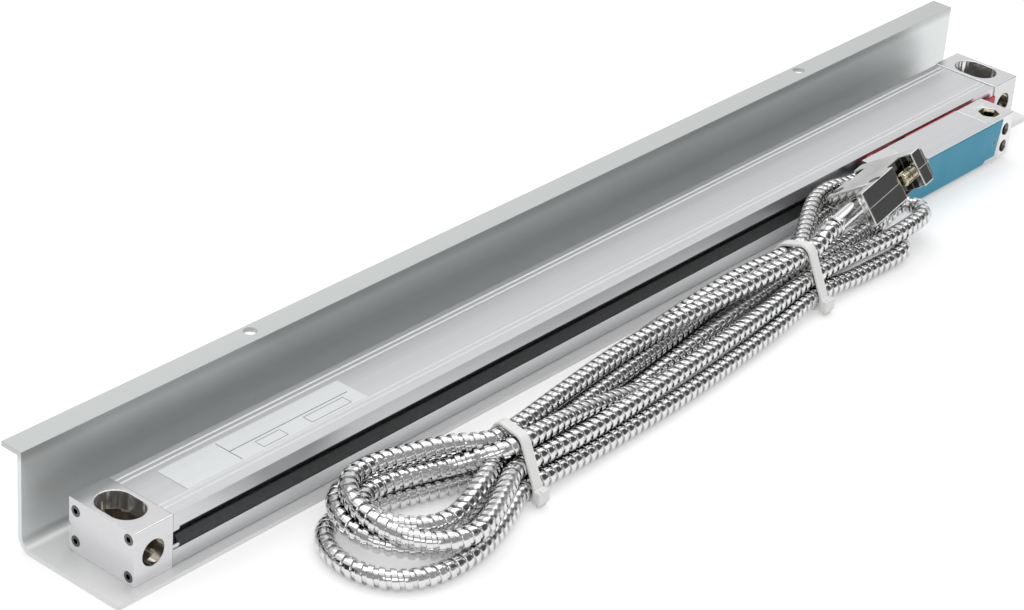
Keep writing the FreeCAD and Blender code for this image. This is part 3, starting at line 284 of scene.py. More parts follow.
class Paint(Nodes):
    """A material under construction."""

    def __init__(self, name):
        self.material = bpy.data.materials.new(name)
        self.material.use_nodes = True
        super().__init__(self.material.node_tree)
        self.shader = self.tree.nodes["Principled BSDF"]

    def set(self, **sockets):
        for name, given in sockets.items():
            self.feed(self.shader.inputs[name.replace("_", " ")], given)

    def place(self, scale=(1, 1, 1), turn=(0, 0, 0)):
        """Object coordinates, scaled and turned."""
        found = self.node("ShaderNodeTexCoord", {}, {}, "Object")
        return self.node("ShaderNodeMapping", {}, {"Vector": found, "Scale": scale, "Rotation": turn})

    def noise(self, scale, detail=3.0, stretch=(1, 1, 1), turn=(0, 0, 0)):
        return self.node("ShaderNodeTexNoise", {}, {"Vector": self.place(stretch, turn), "Scale": scale,
                                                    "Detail": detail})

    def between(self, amount, low, high):
        """A number that goes from low to high as amount goes from 0 to 1."""
        return amount * (high - low) + low

    def blend(self, amount, first, second):
        """A colour between two, by a number or another socket."""
        made = self.node("ShaderNodeMix", {"data_type": "RGBA"}, {0: amount}, 2)
        self.feed(made.socket.node.inputs[6], first if isinstance(first, Value) else (*first, 1))
        self.feed(made.socket.node.inputs[7], second if isinstance(second, Value) else (*second, 1))
        return made

    def inside(self, place, low, high):
        """1 within a box given in millimetres, else 0."""
        found = None
        for along, least, most in zip(self.parts(place), low, high):
            within = along.maths("COMPARE", (least + most) / 2 * MM, (most - least) / 2 * MM)
            found = within if found is None else found * within
        return found

    def both_ends(self):
        """Object coordinates with both ends of the object folded onto one."""
        return self.vector("ABSOLUTE", self.place())

    def plug_place(self):
        """Coordinates in the connector's own directions, with both its sides folded onto one."""
        away = self.vector("SUBTRACT", self.place(), PLUG_PLACE)
        out, side, up = [self.vector("DOT_PRODUCT", away, way, output="Value")
                         for way in (PLUG_AXIS, PLUG_TOP.cross(PLUG_AXIS).normalized(), PLUG_TOP)]
        return self.node("ShaderNodeCombineXYZ", {}, {"X": out, "Y": side.maths("ABSOLUTE"), "Z": up})

    def facing(self, way, start, end):
        """0 to 1 as the cosine between a face's own normal and a direction goes from start to end."""
        normal = self.node("ShaderNodeTexCoord", {}, {}, "Normal")
        return self.rise(self.vector("DOT_PRODUCT", normal, way, output="Value"), start, end)

    def open_sky(self, reach):
        """1 on open faces, falling to 0 in hollows narrower than a reach in millimetres."""
        seen = self.node("ShaderNodeAmbientOcclusion", {"samples": 8}, {"Distance": reach * MM}, "AO")
        return self.rise(seen, 0.25, 0.75)

    def relief(self, height, depth, edge=0.0):
        """The normal of a surface with a height over it, in metres, and its sharp edges softened."""
        inputs = {"Height": height, "Distance": depth, "Strength": 1.0}
        if edge:
            inputs["Normal"] = self.node("ShaderNodeBevel", {"samples": 4}, {"Radius": edge})
        return self.node("ShaderNodeBump", {}, inputs)


def tinted(colour, amount):
    return tuple(min(1.0, c * amount) for c in colour)


def drawn_metal(name, colour, roughness):
    """Metal with fine lines along its length and a satin finish."""
    paint = Paint(name)
    lines = paint.noise(1.0, 2.0, (10, 800, 800))
    cloud = paint.noise(9.0, 2.0)
    mixed = lines * 0.6 + cloud * 0.4
    paint.set(Metallic=1.0, Base_Color=paint.blend(mixed, tinted(colour, 0.93), tinted(colour, 1.05)),
              Roughness=paint.between(mixed, roughness - 0.06, roughness + 0.06),
              Normal=paint.relief(lines, 0.004 * MM, 0.25 * MM))
    return paint.material


def folded_sheet(name, colour, roughness):
    """Rolled sheet whose floor is painted paler and less metallic than its wall, as painted light,
    and whose upper flange is painted darker, as painted shade.
    """
    paint = Paint(name)
    lines = paint.noise(1.0, 2.0, (5, 700, 700))
    cloud = paint.noise(9.0, 2.0)
    z = paint.parts(paint.place())[2]
    # Painted light and shade: below the floor heights the sheet is painted paler and less metallic, and
    # above the flange heights darker.
    low = paint.rise(z, GUARD_FLOOR[0] * MM, GUARD_FLOOR[1] * MM)
    high = paint.rise(z, GUARD_FLANGE[0] * MM, GUARD_FLANGE[1] * MM)
    wall = paint.blend(lines * 0.6 + cloud * 0.4, tinted(colour, 0.95), tinted(colour, 1.04))
    floor_painted_light = paint.blend(low, wall, (0.95, 0.95, 0.955))
    paint.set(Metallic=1.0 - low * 0.8, Base_Color=paint.blend(high * 0.5, floor_painted_light, tinted(colour, 0.5)),
              Roughness=paint.between(lines, roughness - 0.05, roughness + 0.05),
              Normal=paint.relief(lines, 0.004 * MM, 0.25 * MM))
    return paint.material


def extrusion(name, colour, roughness):
    """Anodised extrusion whose narrow top grooves are painted pale, matt and less metallic, as a painted
    highlight.
    """
    paint = Paint(name)
    lines = paint.noise(1.0, 2.0, (6, 900, 900))
    y = paint.parts(paint.place())[1]
    # Painted highlight: the narrow grooves are painted pale, matt and less metallic.
    groove = None
    for middle in CASE_GROOVES:
        near = y.maths("COMPARE", middle * MM, GROOVE_HALF * MM)
        groove = near if groove is None else groove.maths("MAXIMUM", near)
    plain = paint.blend(lines, tinted(colour, 0.95), tinted(colour, 1.03))
    paint.set(Metallic=paint.between(groove, 1.0, 0.2),
              Base_Color=paint.blend(groove, plain, (0.93, 0.93, 0.94)),
              Roughness=paint.between(lines, roughness - 0.05, roughness + 0.05) + groove * 0.3,
              Normal=paint.relief(lines, 0.003 * MM, 0.2 * MM))
    return paint.material


def bright_metal(name, colour, roughness, waves=60.0, depth=0.012, edge=0.3, hollows=(), painted_light_facing=None):
    """Plated or polished metal, slightly wavy, with wiping marks.

    Each hollow is a colour painted over a hollow, with its reach in millimetres, or with the coordinates and
    the two corners of its box; the finishes use it for painted shade in recesses, for a painted reflection
    in the caps' wells and for a pale cream in the blocks' nut pockets. The last argument gives a direction,
    the two cosines to it between which faces turn less metallic, so that they render paler as painted light,
    and how metallic those faces are.
    """
    paint = Paint(name)
    wave = paint.noise(waves, 1.5)
    wipe = paint.noise(1.0, 4.0, (90, 700, 700), (0.3, 0.2, 0.5))
    tone = paint.blend(wipe, tinted(colour, 0.96), tinted(colour, 1.04))
    rough = paint.between(wipe, max(0.02, roughness - 0.02), roughness + 0.03)
    depth_seen = 0
    # Paints each hollow's colour over it: painted shade in recesses, a painted reflection in the caps'
    # wells, pale cream in the blocks' nut pockets.
    for deep, where in hollows:
        if isinstance(where, tuple):
            coordinates, low, high = where
            hidden = paint.inside(coordinates(paint), low, high)
        else:
            hidden = 1 - paint.open_sky(where)
        depth_seen = hidden.maths("MAXIMUM", depth_seen)
        tone = paint.blend(hidden, tone, deep)
        rough = paint.between(hidden, 1.0, 0.4) * rough
    # Painted light: faces turned as the last argument says are made less metallic, so that they render
    # paler.
    metallic = 1.0
    if painted_light_facing:
        way, start, end, least = painted_light_facing
        metallic = 1 - paint.facing(way, start, end) * (1 - depth_seen * 0.8) * (1 - least)
    paint.set(Metallic=metallic, Base_Color=tone, Roughness=rough,
              Normal=paint.relief(wave, depth * MM, edge * MM))
    return paint.material


def rubber(name, colour, roughness=0.55, shine=0.5):
    """Extruded rubber, with lines along it and dust."""
    paint = Paint(name)
    lines = paint.noise(1.0, 2.0, (8, 500, 500))
    dust = paint.noise(400.0, 3.0)
    paint.set(Base_Color=paint.blend(dust, tinted(colour, 0.8), tinted(colour, 1.5)),
              Roughness=paint.between(lines, roughness - 0.1, roughness + 0.1),
              Specular_IOR_Level=shine, Normal=paint.relief(lines, 0.02 * MM, 0.15 * MM))
    return paint.material


def moulded(name, colour, roughness):
    """Moulded plastic with a fine spark-eroded grain."""
    paint = Paint(name)
    spots = paint.noise(900.0, 2.0)
    cloud = paint.noise(40.0, 2.0)
    paint.set(Base_Color=paint.blend(cloud, tinted(colour, 0.92), tinted(colour, 1.08)),
              Roughness=paint.between(spots, roughness - 0.06, roughness + 0.08),
              Normal=paint.relief(spots, 0.01 * MM, 0.2 * MM))
    return paint.material


def nylon(name):
    """Milky nylon that lets some light through."""
    paint = Paint(name)
    cloud = paint.noise(180.0, 3.0)
    paint.set(Base_Color=paint.blend(cloud, (0.90, 0.90, 0.885), (0.96, 0.96, 0.95)),
              Roughness=paint.between(cloud, 0.34, 0.46), Subsurface_Weight=0.12,
              Subsurface_Scale=0.001, Coat_Weight=0.05, Normal=paint.relief(cloud, 0.02 * MM, 0.2 * MM))
    return paint.material


def glass(name):
    """Clear glass with fine dark lines across it."""
    paint = Paint(name)
    line = paint.parts(paint.place((4000, 1, 1)))[0].maths("FRACT").maths("GREATER_THAN", 0.5)
    cloud = paint.noise(50.0)
    paint.set(Base_Color=paint.blend(line * 0.5, (0.86, 0.95, 0.93), (0.2, 0.25, 0.25)),
              Roughness=paint.between(cloud, 0.02, 0.06), Transmission_Weight=0.85, IOR=1.5)
    return paint.material


def film(name, colour):
    """Printed film with a satin surface, slightly uneven where it is stuck down, with a painted highlight
    in a pale ring round each bump.
    """
    paint = Paint(name)
    sheet = paint.noise(55.0, 2.0)
    fine = paint.noise(1500.0, 2.0)
    place = paint.place()
    bumps = sheet * 0.03
    for middle in FILM_BUMPS:
        away = paint.vector("DISTANCE", place, middle, output="Value")
        bumps = bumps + paint.node("ShaderNodeMapRange", {"interpolation_type": "SMOOTHSTEP"}, {
            "Value": away, "From Min": 1.3 * MM, "From Max": 2.0 * MM, "To Min": 1.0, "To Max": 0.0})
    # Painted highlight: a pale ring where each bump slopes.
    ring_highlight = bumps * (1 - bumps) * 3
    paint.set(Base_Color=paint.blend(ring_highlight, paint.blend(sheet, tinted(colour, 0.92), tinted(colour, 1.1)),
                                     (0.80, 0.92, 0.96)),
              Roughness=paint.between(fine, 0.26, 0.4), Specular_IOR_Level=0.3,
              Normal=paint.relief(bumps, 0.6 * MM))
    return paint.material


def foil(name):
    """Silver-grey foil with ruled cells printed on it."""
    paint = Paint(name)
    x, y = paint.parts(paint.place())[:2]

    def stripe(along, middle, half):
        return (along - middle * MM).maths("ABSOLUTE").maths("LESS_THAN", half * MM)

    def span(along, low, high):
        return along.maths("GREATER_THAN", low * MM) * along.maths("LESS_THAN", high * MM)

    def borders(along, ends, across, reach):
        """Stripes at both ends of a span, as long as a reach across it."""
        pair = stripe(along, ends[0], CELL_HALF).maths("MAXIMUM", stripe(along, ends[1], CELL_HALF))
        return pair * span(across, *reach)

    line = stripe(y, RULE_Y, RULE_HALF) * span(x, *RULE_X_SPAN)
    line = line.maths("MAXIMUM", stripe(x, RULE_X_SPAN[0], RULE_HALF) * span(y, *RULE_Y_SPAN))
    for cell in CELL_X_SPANS:
        line = line.maths("MAXIMUM", borders(x, cell, y, CELL_Y_SPAN))
        line = line.maths("MAXIMUM", borders(y, CELL_Y_SPAN, x, cell))
    grain = paint.noise(1.0, 2.0, (30, 1200, 1200))
    silver = paint.blend(grain, (0.80, 0.82, 0.83), (0.88, 0.90, 0.91))
    paint.set(Base_Color=paint.blend(line, silver, (0.06, 0.06, 0.065)), Metallic=0.25,
              Roughness=paint.between(grain, 0.34, 0.46), Normal=paint.relief(grain, 0.002 * MM))
    return paint.material


def board(name):
    """Green solder mask over copper tracks."""
    paint = Paint(name)
    tracks = paint.node("ShaderNodeTexBrick", {}, {"Vector": paint.place(), "Scale": 180.0,
                                                   "Mortar Size": 0.03})
    cloud = paint.noise(120.0)
    paint.set(Base_Color=paint.blend(paint.other(tracks, "Fac"), (0.03, 0.17, 0.07), (0.06, 0.3, 0.13)),
              Roughness=paint.between(cloud, 0.25, 0.4), Normal=paint.relief(cloud, 0.01 * MM))
    return paint.material


def finishes():
    """Every finish of the record, by its slot."""
    colours = bpy.context.scene.scale_colours
    metal = tuple(colours.metal)
    return {
        "guard_aluminium": folded_sheet("rolled sheet", (metal[0] * 1.06, metal[1] * 1.08, metal[2] * 1.06),
                                        0.42),
        "anodised_aluminium": extrusion("anodised extrusion", tinted(metal, 0.96), 0.32),
        # The caps' wells are painted white as a painted reflection and their pockets darker as painted
        # shade; faces that do not face up are made less metallic, so that they render paler, as painted
        # light.
        "polished_cap": bright_metal("polished casting", (0.88, 0.88, 0.895), 0.22, 22.0, 0.002, 0.25,
                                     [((0.95, 0.95, 0.95), (Paint.both_ends, *CAP_WELL)),
                                      ((0.50, 0.46, 0.40), (Paint.both_ends, *CAP_POCKET))],
                                     ((0, 0, 1), 0.7, 0.3, 0.42)),
        # The blocks' holes are painted dark as painted shade, and their nut pockets a pale warm cream.
        "block_aluminium": bright_metal("milled block", (0.88, 0.88, 0.89), 0.24, 22.0, 0.002, 0.25,
                                        [((0.20, 0.19, 0.16), (Paint.place, *BLOCK_HOLES)),
                                         ((0.80, 0.77, 0.68), (Paint.place, *NUT_POCKETS))]),
        # Painted shade: the screws' sockets are painted nearly black where they are occluded.
        "screw_steel": bright_metal("plated screw", (0.17, 0.17, 0.165), 0.22, 300.0,
                                    hollows=[((0.02, 0.02, 0.02), 2.0)]),
        # The two lips are the same rubber: the upper lip is painted nearly black as painted shade, the lower
        # lip dark grey as painted light.
        "black_rubber": rubber("black lip", (0.008, 0.008, 0.008), 0.5, 0.25),
        "dark_rubber": rubber("dark lip", (0.07, 0.072, 0.075)),
        "optical_glass": glass("glass"),
        "label_foil": foil("label"),
        "blue_film": film("film", tuple(colours.film)),
        "spring_steel": drawn_metal("spring", (0.7, 0.7, 0.72), 0.22),
        "carriage_metal": bright_metal("die casting", (0.55, 0.56, 0.58), 0.38, 400.0, 0.02),
        "circuit_board": board("board"),
        "gland_metal": bright_metal("gland", (0.72, 0.72, 0.73), 0.12, 120.0),
        "core_jacket": rubber("jacket", (0.03, 0.03, 0.03), 0.45),
        "red_plastic": moulded("spacer", tuple(colours.spacer), 0.34),
        # Painted shade: the armour's grooves are painted dark where they are occluded.
        "cable_armour": bright_metal("armour", (0.86, 0.86, 0.86), 0.08, 250.0, 0.006, 0.0,
                                     [((0.18, 0.18, 0.175), 1.6)]),
        "clear_nylon": nylon("nylon"),
        "ferrule_metal": bright_metal("ferrule", (0.86, 0.86, 0.86), 0.07, 90.0, 0.01),
        # The thumbscrews' recess is painted dark as painted shade, and faces turned up are made less
        # metallic, so that they render paler, as painted light.
        "hood_metal": bright_metal("metallised hood", (0.84, 0.84, 0.83), 0.10, 30.0, 0.002, 0.3,
                                   [((0.12, 0.12, 0.11), (Paint.plug_place, *THUMB_RECESS))],
                                   (PLUG_TOP, 0.8, 0.95, 0.22)),
        "shroud_metal": bright_metal("tinned shroud", (0.74, 0.74, 0.73), 0.2, 160.0),
        "black_plastic": moulded("insulator", (0.02, 0.02, 0.02), 0.4),
        "contact_brass": bright_metal("contacts", (0.86, 0.62, 0.26), 0.15, 300.0),
        # Painted shade: the knurls' grooves are painted dark where they are occluded.
        "thumb_brass": bright_metal("yellow passivated", (0.66, 0.60, 0.44), 0.16, 300.0, 0.012, 0.1,
                                    [((0.06, 0.055, 0.035), 1.2)]),
        "bearing_steel": bright_metal("bearing", (0.76, 0.77, 0.79), 0.08, 200.0),
    }


# Edges sharper than this are rounded, and a seam's edges only by this share of the width.
ROUNDED_FROM = math.radians(40)
SEAM_SHARE = 0.2
FINISH = {}
SLOT = {part["node"]: part["material_slot"] for part in frame["record"]["subparts"]}


def paint_with(piece, slot):
    """Gives a piece one finish in place of whatever it had."""
    piece.data.materials.clear()
    piece.data.materials.append(FINISH[slot])


def link(name, data):
    piece = bpy.data.objects.new(name, data)
    bpy.context.scene.collection.objects.link(piece)
    return piece


def from_bmesh(name, shape):
    mesh = bpy.data.meshes.new(name)
    shape.to_mesh(mesh)
    shape.free()
    return link(name, mesh)


def smooth_by_angle(piece, degrees):
    """Smooth faces whose sharp edges stay sharp."""
    shape = bmesh.new()
    shape.from_mesh(piece.data)
    limit = math.radians(degrees)
    for face in shape.faces:
        face.smooth = True
    for edge in shape.edges:
        edge.smooth = len(edge.link_faces) == 2 and edge.calc_face_angle(0.0) < limit
    shape.to_mesh(piece.data)
    shape.free()


def softened(node, width, name=None, segments=2, seam=None):
    """Puts a copy with rounded edges in a CAD node's place; a seam's edges stay nearly sharp."""
    shape = bmesh.new()
    shape.from_mesh(frame["nodes"][node].data)
    bmesh.ops.remove_doubles(shape, verts=shape.verts, dist=0.002 * MM)
    bmesh.ops.dissolve_limit(shape, angle_limit=math.radians(1.0), verts=shape.verts, edges=shape.edges)
    weight = shape.edges.layers.float.new("bevel_weight_edge")
    for edge in shape.edges:
        if len(edge.link_faces) == 2 and edge.calc_face_angle(0.0) > ROUNDED_FROM:
            edge[weight] = SEAM_SHARE if seam and all(seam(vert.co) for vert in edge.verts) else 1.0
    piece = from_bmesh(name or node + "_rounded", shape)
    smooth_by_angle(piece, 30)
    bevel = piece.modifiers.new("edges", "BEVEL")
    bevel.width = width * MM
    bevel.segments = segments
    bevel.limit_method = "WEIGHT"
    bevel.use_clamp_overlap = False
    bevel.harden_normals = True
    bevel.miter_outer = "MITER_ARC"
    paint_with(piece, SLOT[node])
    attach(piece, body_of(node))
    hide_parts(node)


def body_of(node):
    """The body that a CAD node belongs to."""
    for body, nodes in frame["record"]["behaviour"]["bodies"].items():
        if node in nodes:
            return body
    raise RuntimeError(f"no body holds {node}")


def route_points():
    """Control points of the whole cable, from the gland to the ferrule."""
    points = list(LEAD)
    left = 0
    right = 0
    for i, (left_place, between, right_place) in enumerate(RUNS):
        at_left = [(x, *LEFT_TIE[left_place]) for x in LEFT_TIE_X]
        at_right = [(x, *RIGHT_TIE[right_place]) for x in RIGHT_TIE_X]
        run = at_left + list(between) + at_right
        if i % 2 == 0:
            points += run[::-1]
            loop = LEFT_LOOPS[left]
            points += loop if loop_starts_at(loop, left_place, LEFT_TIE) else loop[::-1]
            left += 1
        else:
            points += run
            if right < len(RIGHT_LOOPS):
                loop = RIGHT_LOOPS[right]
                points += loop if loop_starts_at(loop, right_place, RIGHT_TIE) else loop[::-1]
                right += 1
    return points + TAIL


def loop_starts_at(loop, place, tie):
    """Whether a loop's first point is nearer than its last to a place in a tie."""
    y, z = tie[place]
    first = math.dist(loop[0][1:], (y, z))
    last = math.dist(loop[-1][1:], (y, z))
    return first < last


def route_curve():
    """The cable's centreline as one open smooth curve, without thickness."""
    data = bpy.data.curves.new("cable_route", "CURVE")
    data.dimensions = "3D"
    data.resolution_u = 10
    points = route_points()
    spline = data.splines.new("NURBS")
    spline.points.add(len(points) - 1)
    for point, place in zip(spline.points, points):
        point.co = (*mm(*place), 1.0)
    spline.order_u = 3
    spline.use_endpoint_u = True
    return data


def group_tree(name, inputs):
    """A geometry node group with named inputs."""
    tree = bpy.data.node_groups.new(name, "GeometryNodeTree")
    tree.interface.new_socket("Geometry", in_out="INPUT", socket_type="NodeSocketGeometry")
    for label, kind in inputs.items():
        tree.interface.new_socket(label, in_out="INPUT", socket_type="NodeSocket" + kind)
    tree.interface.new_socket("Geometry", in_out="OUTPUT", socket_type="NodeSocketGeometry")
    nodes = Nodes(tree)
    given = nodes.node("NodeGroupInput", {}, {})
    return nodes, lambda label: nodes.other(given, label)


def close_tree(nodes, shape, finish):
    """Ends a geometry node group as plain painted mesh."""
    real = nodes.node("GeometryNodeRealizeInstances", {}, {"Geometry": shape})
    painted = nodes.node("GeometryNodeSetMaterial", {}, {"Geometry": real, "Material": finish})
    nodes.node("NodeGroupOutput", {}, {"Geometry": painted})
    return nodes.tree


def grown(piece, tree, name, **inputs):
    """The plain mesh that a geometry node group makes from a piece, which is then removed."""
    modifier = piece.modifiers.new("growth", "NODES")
    modifier.node_group = tree
    sockets = {item.name: item.identifier for item in tree.interface.items_tree if item.in_out == "INPUT"}
    for label, given in inputs.items():
        modifier[sockets[label.replace("_", " ")]] = given
    bpy.context.view_layer.update()
    evaluated = piece.evaluated_get(bpy.context.evaluated_depsgraph_get())
    mesh = bpy.data.meshes.new_from_object(evaluated)
    mesh.name = name
    piece.modifiers.remove(modifier)
    bpy.data.objects.remove(piece)
    return link(name, mesh)


def armour_tree():
    """A strip wound round a path: a grid whose rows go round and along, with a rib across its width.

    The two curves give, for nine places across the strip, how far along the pitch it lies and how high.
    """
    nodes, given = group_tree("wound_strip", {
        "Start": "Float", "Turns": "Int", "Sides": "Int", "Pitch": "Float", "Groove": "Float",
        "Rib": "Float", "Finish": "Material"})
    rows = given("Turns") * given("Sides") + 1
    grid = nodes.node("GeometryNodeMeshGrid", {}, {"Size X": 1.0, "Size Y": 1.0, "Vertices X": rows,
                                                   "Vertices Y": 9})
    u, v = nodes.parts(nodes.other(grid, "UV Map"))[:2]
    turn = u * given("Turns")
    angle = turn * (2 * math.pi)
    steps = [i / 8 for i in range(9)]
    across = nodes.node("ShaderNodeFloatCurve", {"curve": list(zip(
        steps, (0.0, 0.20, 0.22, 0.27, 0.50, 0.73, 0.78, 0.80, 1.0)))}, {"Value": v})
    height = nodes.node("ShaderNodeFloatCurve", {"curve": list(zip(
        steps, (0.0, 0.0, 0.80, 0.96, 1.0, 0.96, 0.80, 0.0, 0.0)))}, {"Value": v})
    along = given("Start") + given("Pitch") * (turn + across)
    radius = given("Groove") + given("Rib") * height
    path = nodes.node("GeometryNodeMeshToCurve", {}, {"Mesh": given("Geometry")})
    found = nodes.node("GeometryNodeSampleCurve", {"mode": "LENGTH"}, {"Curves": path, "Length": along},
                       "Position")
    normal = nodes.other(found, "Normal")
    side = nodes.vector("CROSS_PRODUCT", nodes.other(found, "Tangent"), normal)
    shares = [nodes.node("ShaderNodeVectorMath", {"operation": "SCALE"},
                         {0: way, "Scale": radius * angle.maths(function)})
              for way, function in ((normal, "COSINE"), (side, "SINE"))]
    place = nodes.vector("ADD", found, nodes.vector("ADD", *shares))
    moved = nodes.node("GeometryNodeSetPosition", {}, {"Geometry": grid, "Position": place})
    closed = nodes.node("GeometryNodeMergeByDistance", {}, {"Geometry": moved, "Distance": 0.01 * MM})
    smooth = nodes.node("GeometryNodeSetShadeSmooth", {}, {0: closed})
    fold = nodes.node("GeometryNodeInputMeshEdgeAngle", {}, {})
    sharp = nodes.node("FunctionNodeCompare", {}, {0: fold, 1: 0.45})
    creased = nodes.node("GeometryNodeSetShadeSmooth", {"domain": "EDGE"}, {
        "Geometry": smooth, "Selection": sharp, "Shade Smooth": False})
    return close_tree(nodes, creased, given("Finish"))


def edge_length(mesh):
    """Length of a route read as a row of edges."""
    places = [vert.co for vert in mesh.vertices]
    return sum((places[a] - places[b]).length for a, b in (edge.vertices for edge in mesh.edges))


def lay_cable():
    """The cable's core as a curve, and its armour wound round the same line."""
    sizes = bpy.context.scene.scale_cable
    data = route_curve()
    core = link("cable_core", data)
    bare = bpy.data.meshes.new_from_object(core)
    length = edge_length(bare)
    turns = round(length / sizes.pitch)
    pitch = length / turns
    tree = armour_tree()
    armour = []
    done = 0
    for i in range(ARMOUR_PIECES):
        count = turns // ARMOUR_PIECES if i < ARMOUR_PIECES - 1 else turns - done
        made = grown(link("armour_path", bare.copy()), tree, f"cable_armour_{i + 1}", Start=done * pitch,
                     Turns=count, Sides=sizes.sides, Pitch=pitch, Groove=sizes.groove, Rib=sizes.rib,
                     Finish=FINISH["cable_armour"])
        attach(made, HEAD)
        armour.append(made)
        done += count
    data.bevel_depth = sizes.core
    data.bevel_resolution = 3
    data.use_fill_caps = True
    paint_with(core, "core_jacket")
    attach(core, HEAD)
    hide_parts("cable_lead", "cable_hank", "cable_tail")
    return core, armour, length


def hull_of(places, radius):
    """Outline of a tight band round circles, as (y, z) points with their outward normals."""
    steps = 72
    marks = []
    for i in range(steps):
        turn = 2 * math.pi * i / steps
        out = (math.cos(turn), math.sin(turn))
        y, z = max(places, key=lambda c: c[0] * out[0] + c[1] * out[1])
        marks.append(((y + radius * out[0], z + radius * out[1]), out))
    return marks


def block(shape, centre, size):
    """Adds a box to a mesh, and gives its corners."""
    corners = bmesh.ops.create_cube(shape, size=1.0)["verts"]
    for vert in corners:
        vert.co = centre + Vector(part * along for part, along in zip(vert.co, size))
    return corners


def tie(name, node, band, runs):
    """A nylon band pulled round the runs, with its head and cut tail at the lower front."""
    middle, slant = band
    sizes = bpy.context.scene.scale_tie
    half = sizes.width / 2
    thick = sizes.thickness
    corner = TIE_CORNER * MM
    reach = (CORD_D / 2 + TIE_GAP) * MM
    inner = [(y * MM, z * MM) for y, z in runs.values()]
    mean = sum(y for y, z in inner) / len(inner)
    section = [(-half + corner, 0), (half - corner, 0), (half, corner), (half, thick - corner),
               (half - corner, thick), (-half + corner, thick), (-half, thick - corner), (-half, corner)]
    shape = bmesh.new()
    rings = []
    for (y, z), (ny, nz) in hull_of(inner, reach):
        x = middle * MM + slant * (y - mean)
        rings.append([shape.verts.new((x + sx, y + ny * out, z + nz * out)) for sx, out in section])
    for ring, after in zip(rings, rings[1:] + rings[:1]):
        for k in range(len(section)):
            n = (k + 1) % len(section)
            shape.faces.new((ring[k], ring[n], after[n], after[k]))
    bmesh.ops.recalc_face_normals(shape, faces=shape.faces)
    front = min(y for y, z in inner) - reach - thick
    length, depth, height = sizes.head
    head_middle = Vector((middle * MM + slant * (front - mean), front - depth / 2 + 0.5 * MM,
                          TIE_HEAD_Z * MM))
    for centre, size, wide in (
            (head_middle, (length, depth, height), 0.9),
            (head_middle + mm(0, -1.0, height / MM / 2 - 0.2), (length * 0.62, depth * 0.5, 1.4 * MM), 0.4),
            (head_middle + mm(0, -0.4, -height / MM / 2 - 0.5), (sizes.width * 0.94, 1.2 * MM, 1.6 * MM),
             0.3)):
        corners = block(shape, centre, size)
        edges = list(dict.fromkeys(edge for vert in corners for edge in vert.link_edges))
        bmesh.ops.bevel(shape, geom=edges, offset=wide * MM, segments=3, profile=0.6, affect="EDGES")
    for i in range(2):
        at = head_middle + mm(0, -1.05, -height / MM / 2 - 0.4 - 0.5 * i)
        block(shape, at, (sizes.width * 0.6, 0.3 * MM, 0.26 * MM))
    piece = from_bmesh(name, shape)
    smooth_by_angle(piece, 40)
    paint_with(piece, "clear_nylon")
    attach(piece, HEAD)
    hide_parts(node)
    return piece


class SCALE_OT_finishes(bpy.types.Operator):
    """Give every CAD node its finish"""
    bl_idname = "scale.finishes"
    bl_label = "Finishes"

    def execute(self, context):
        FINISH.update(finishes())
        for node, slot in SLOT.items():
            mesh = frame["nodes"][node].data
            mesh.materials.clear()
            mesh.materials.append(FINISH[slot])
        gasket = moulded("gasket", (0.55, 0.56, 0.57), 0.5)
        for node in ("left_cap_gasket", "right_cap_gasket"):
            frame["nodes"][node].data.materials[0] = gasket
        return {"FINISHED"}


class SCALE_OT_cable(bpy.types.Operator):
    bl_idname = "scale.cable"
    bl_label = "Cable and ties"

    def execute(self, context):
        core, armour, length = lay_cable()
        left = tie("tie_left", "cable_tie_left", LEFT_BAND, LEFT_TIE)
        right = tie("tie_right", "cable_tie_right", RIGHT_BAND, RIGHT_TIE)
        print("cable length", round(length, 3))
        return {"FINISHED"}


def on_plug(x, y, z):
    """A point of the connector, given in its own directions in millimetres."""
    side = PLUG_TOP.cross(PLUG_AXIS).normalized()
    return PLUG_PLACE + (PLUG_AXIS * x + side * y + side.cross(-PLUG_AXIS) * z) * MM


def turned(shape, marks, side, teeth=0, bite=0.0):
    """Adds a body of revolution on a thumbscrew's axis.

    Each mark is a place on the axis, a radius, and whether the knurl's teeth are cut there.
    """
    count = teeth * 4 if teeth else 24
    rings = []
    for x, radius, cut in marks:
        ring = []
        for i in range(count):
            turn = 2 * math.pi * i / count
            low = bite if cut and i % 4 >= 2 else 0.0
            away = radius - low
            ring.append(shape.verts.new(on_plug(x, side + away * math.cos(turn), away * math.sin(turn))))
        rings.append(ring)
    for ring, after in zip(rings, rings[1:]):
        for i in range(count):
            n = (i + 1) % count
            shape.faces.new((ring[i], ring[n], after[n], after[i]))
    shape.faces.new(rings[0][::-1])
    shape.faces.new(rings[-1])


def knurled_screw(node, name, side):
    """A thumbscrew whose knob is knurled in two bands, with a plain neck and a threaded tip."""
    shape = bmesh.new()
    knob = [(-16.3, 2.2, False), (-16.0, 2.6, False), (-15.6, 2.75, False), (-15.5, 3.0, True),
            (-12.6, 3.0, True), (-12.5, 2.4, False), (-11.7, 2.4, False), (-11.6, 3.0, True),
            (-8.0, 3.0, True), (-7.9, 2.75, False), (-7.3, 2.6, False)]
    turned(shape, knob, side, 18, 0.35)
    tip = [(-7.3, 1.4, False), (0.4, 1.4, False)]
    for i in range(6):
        start = 0.6 + 0.7 * i
        tip += [(start, 1.35, False), (start + 0.35, 1.05, False)]
    tip.append((4.9, 0.9, False))
    turned(shape, tip, side)
    bmesh.ops.recalc_face_normals(shape, faces=shape.faces)
    piece = from_bmesh(name, shape)
    smooth_by_angle(piece, 25)
    paint_with(piece, SLOT[node])
    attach(piece, body_of(node))
    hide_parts(node)


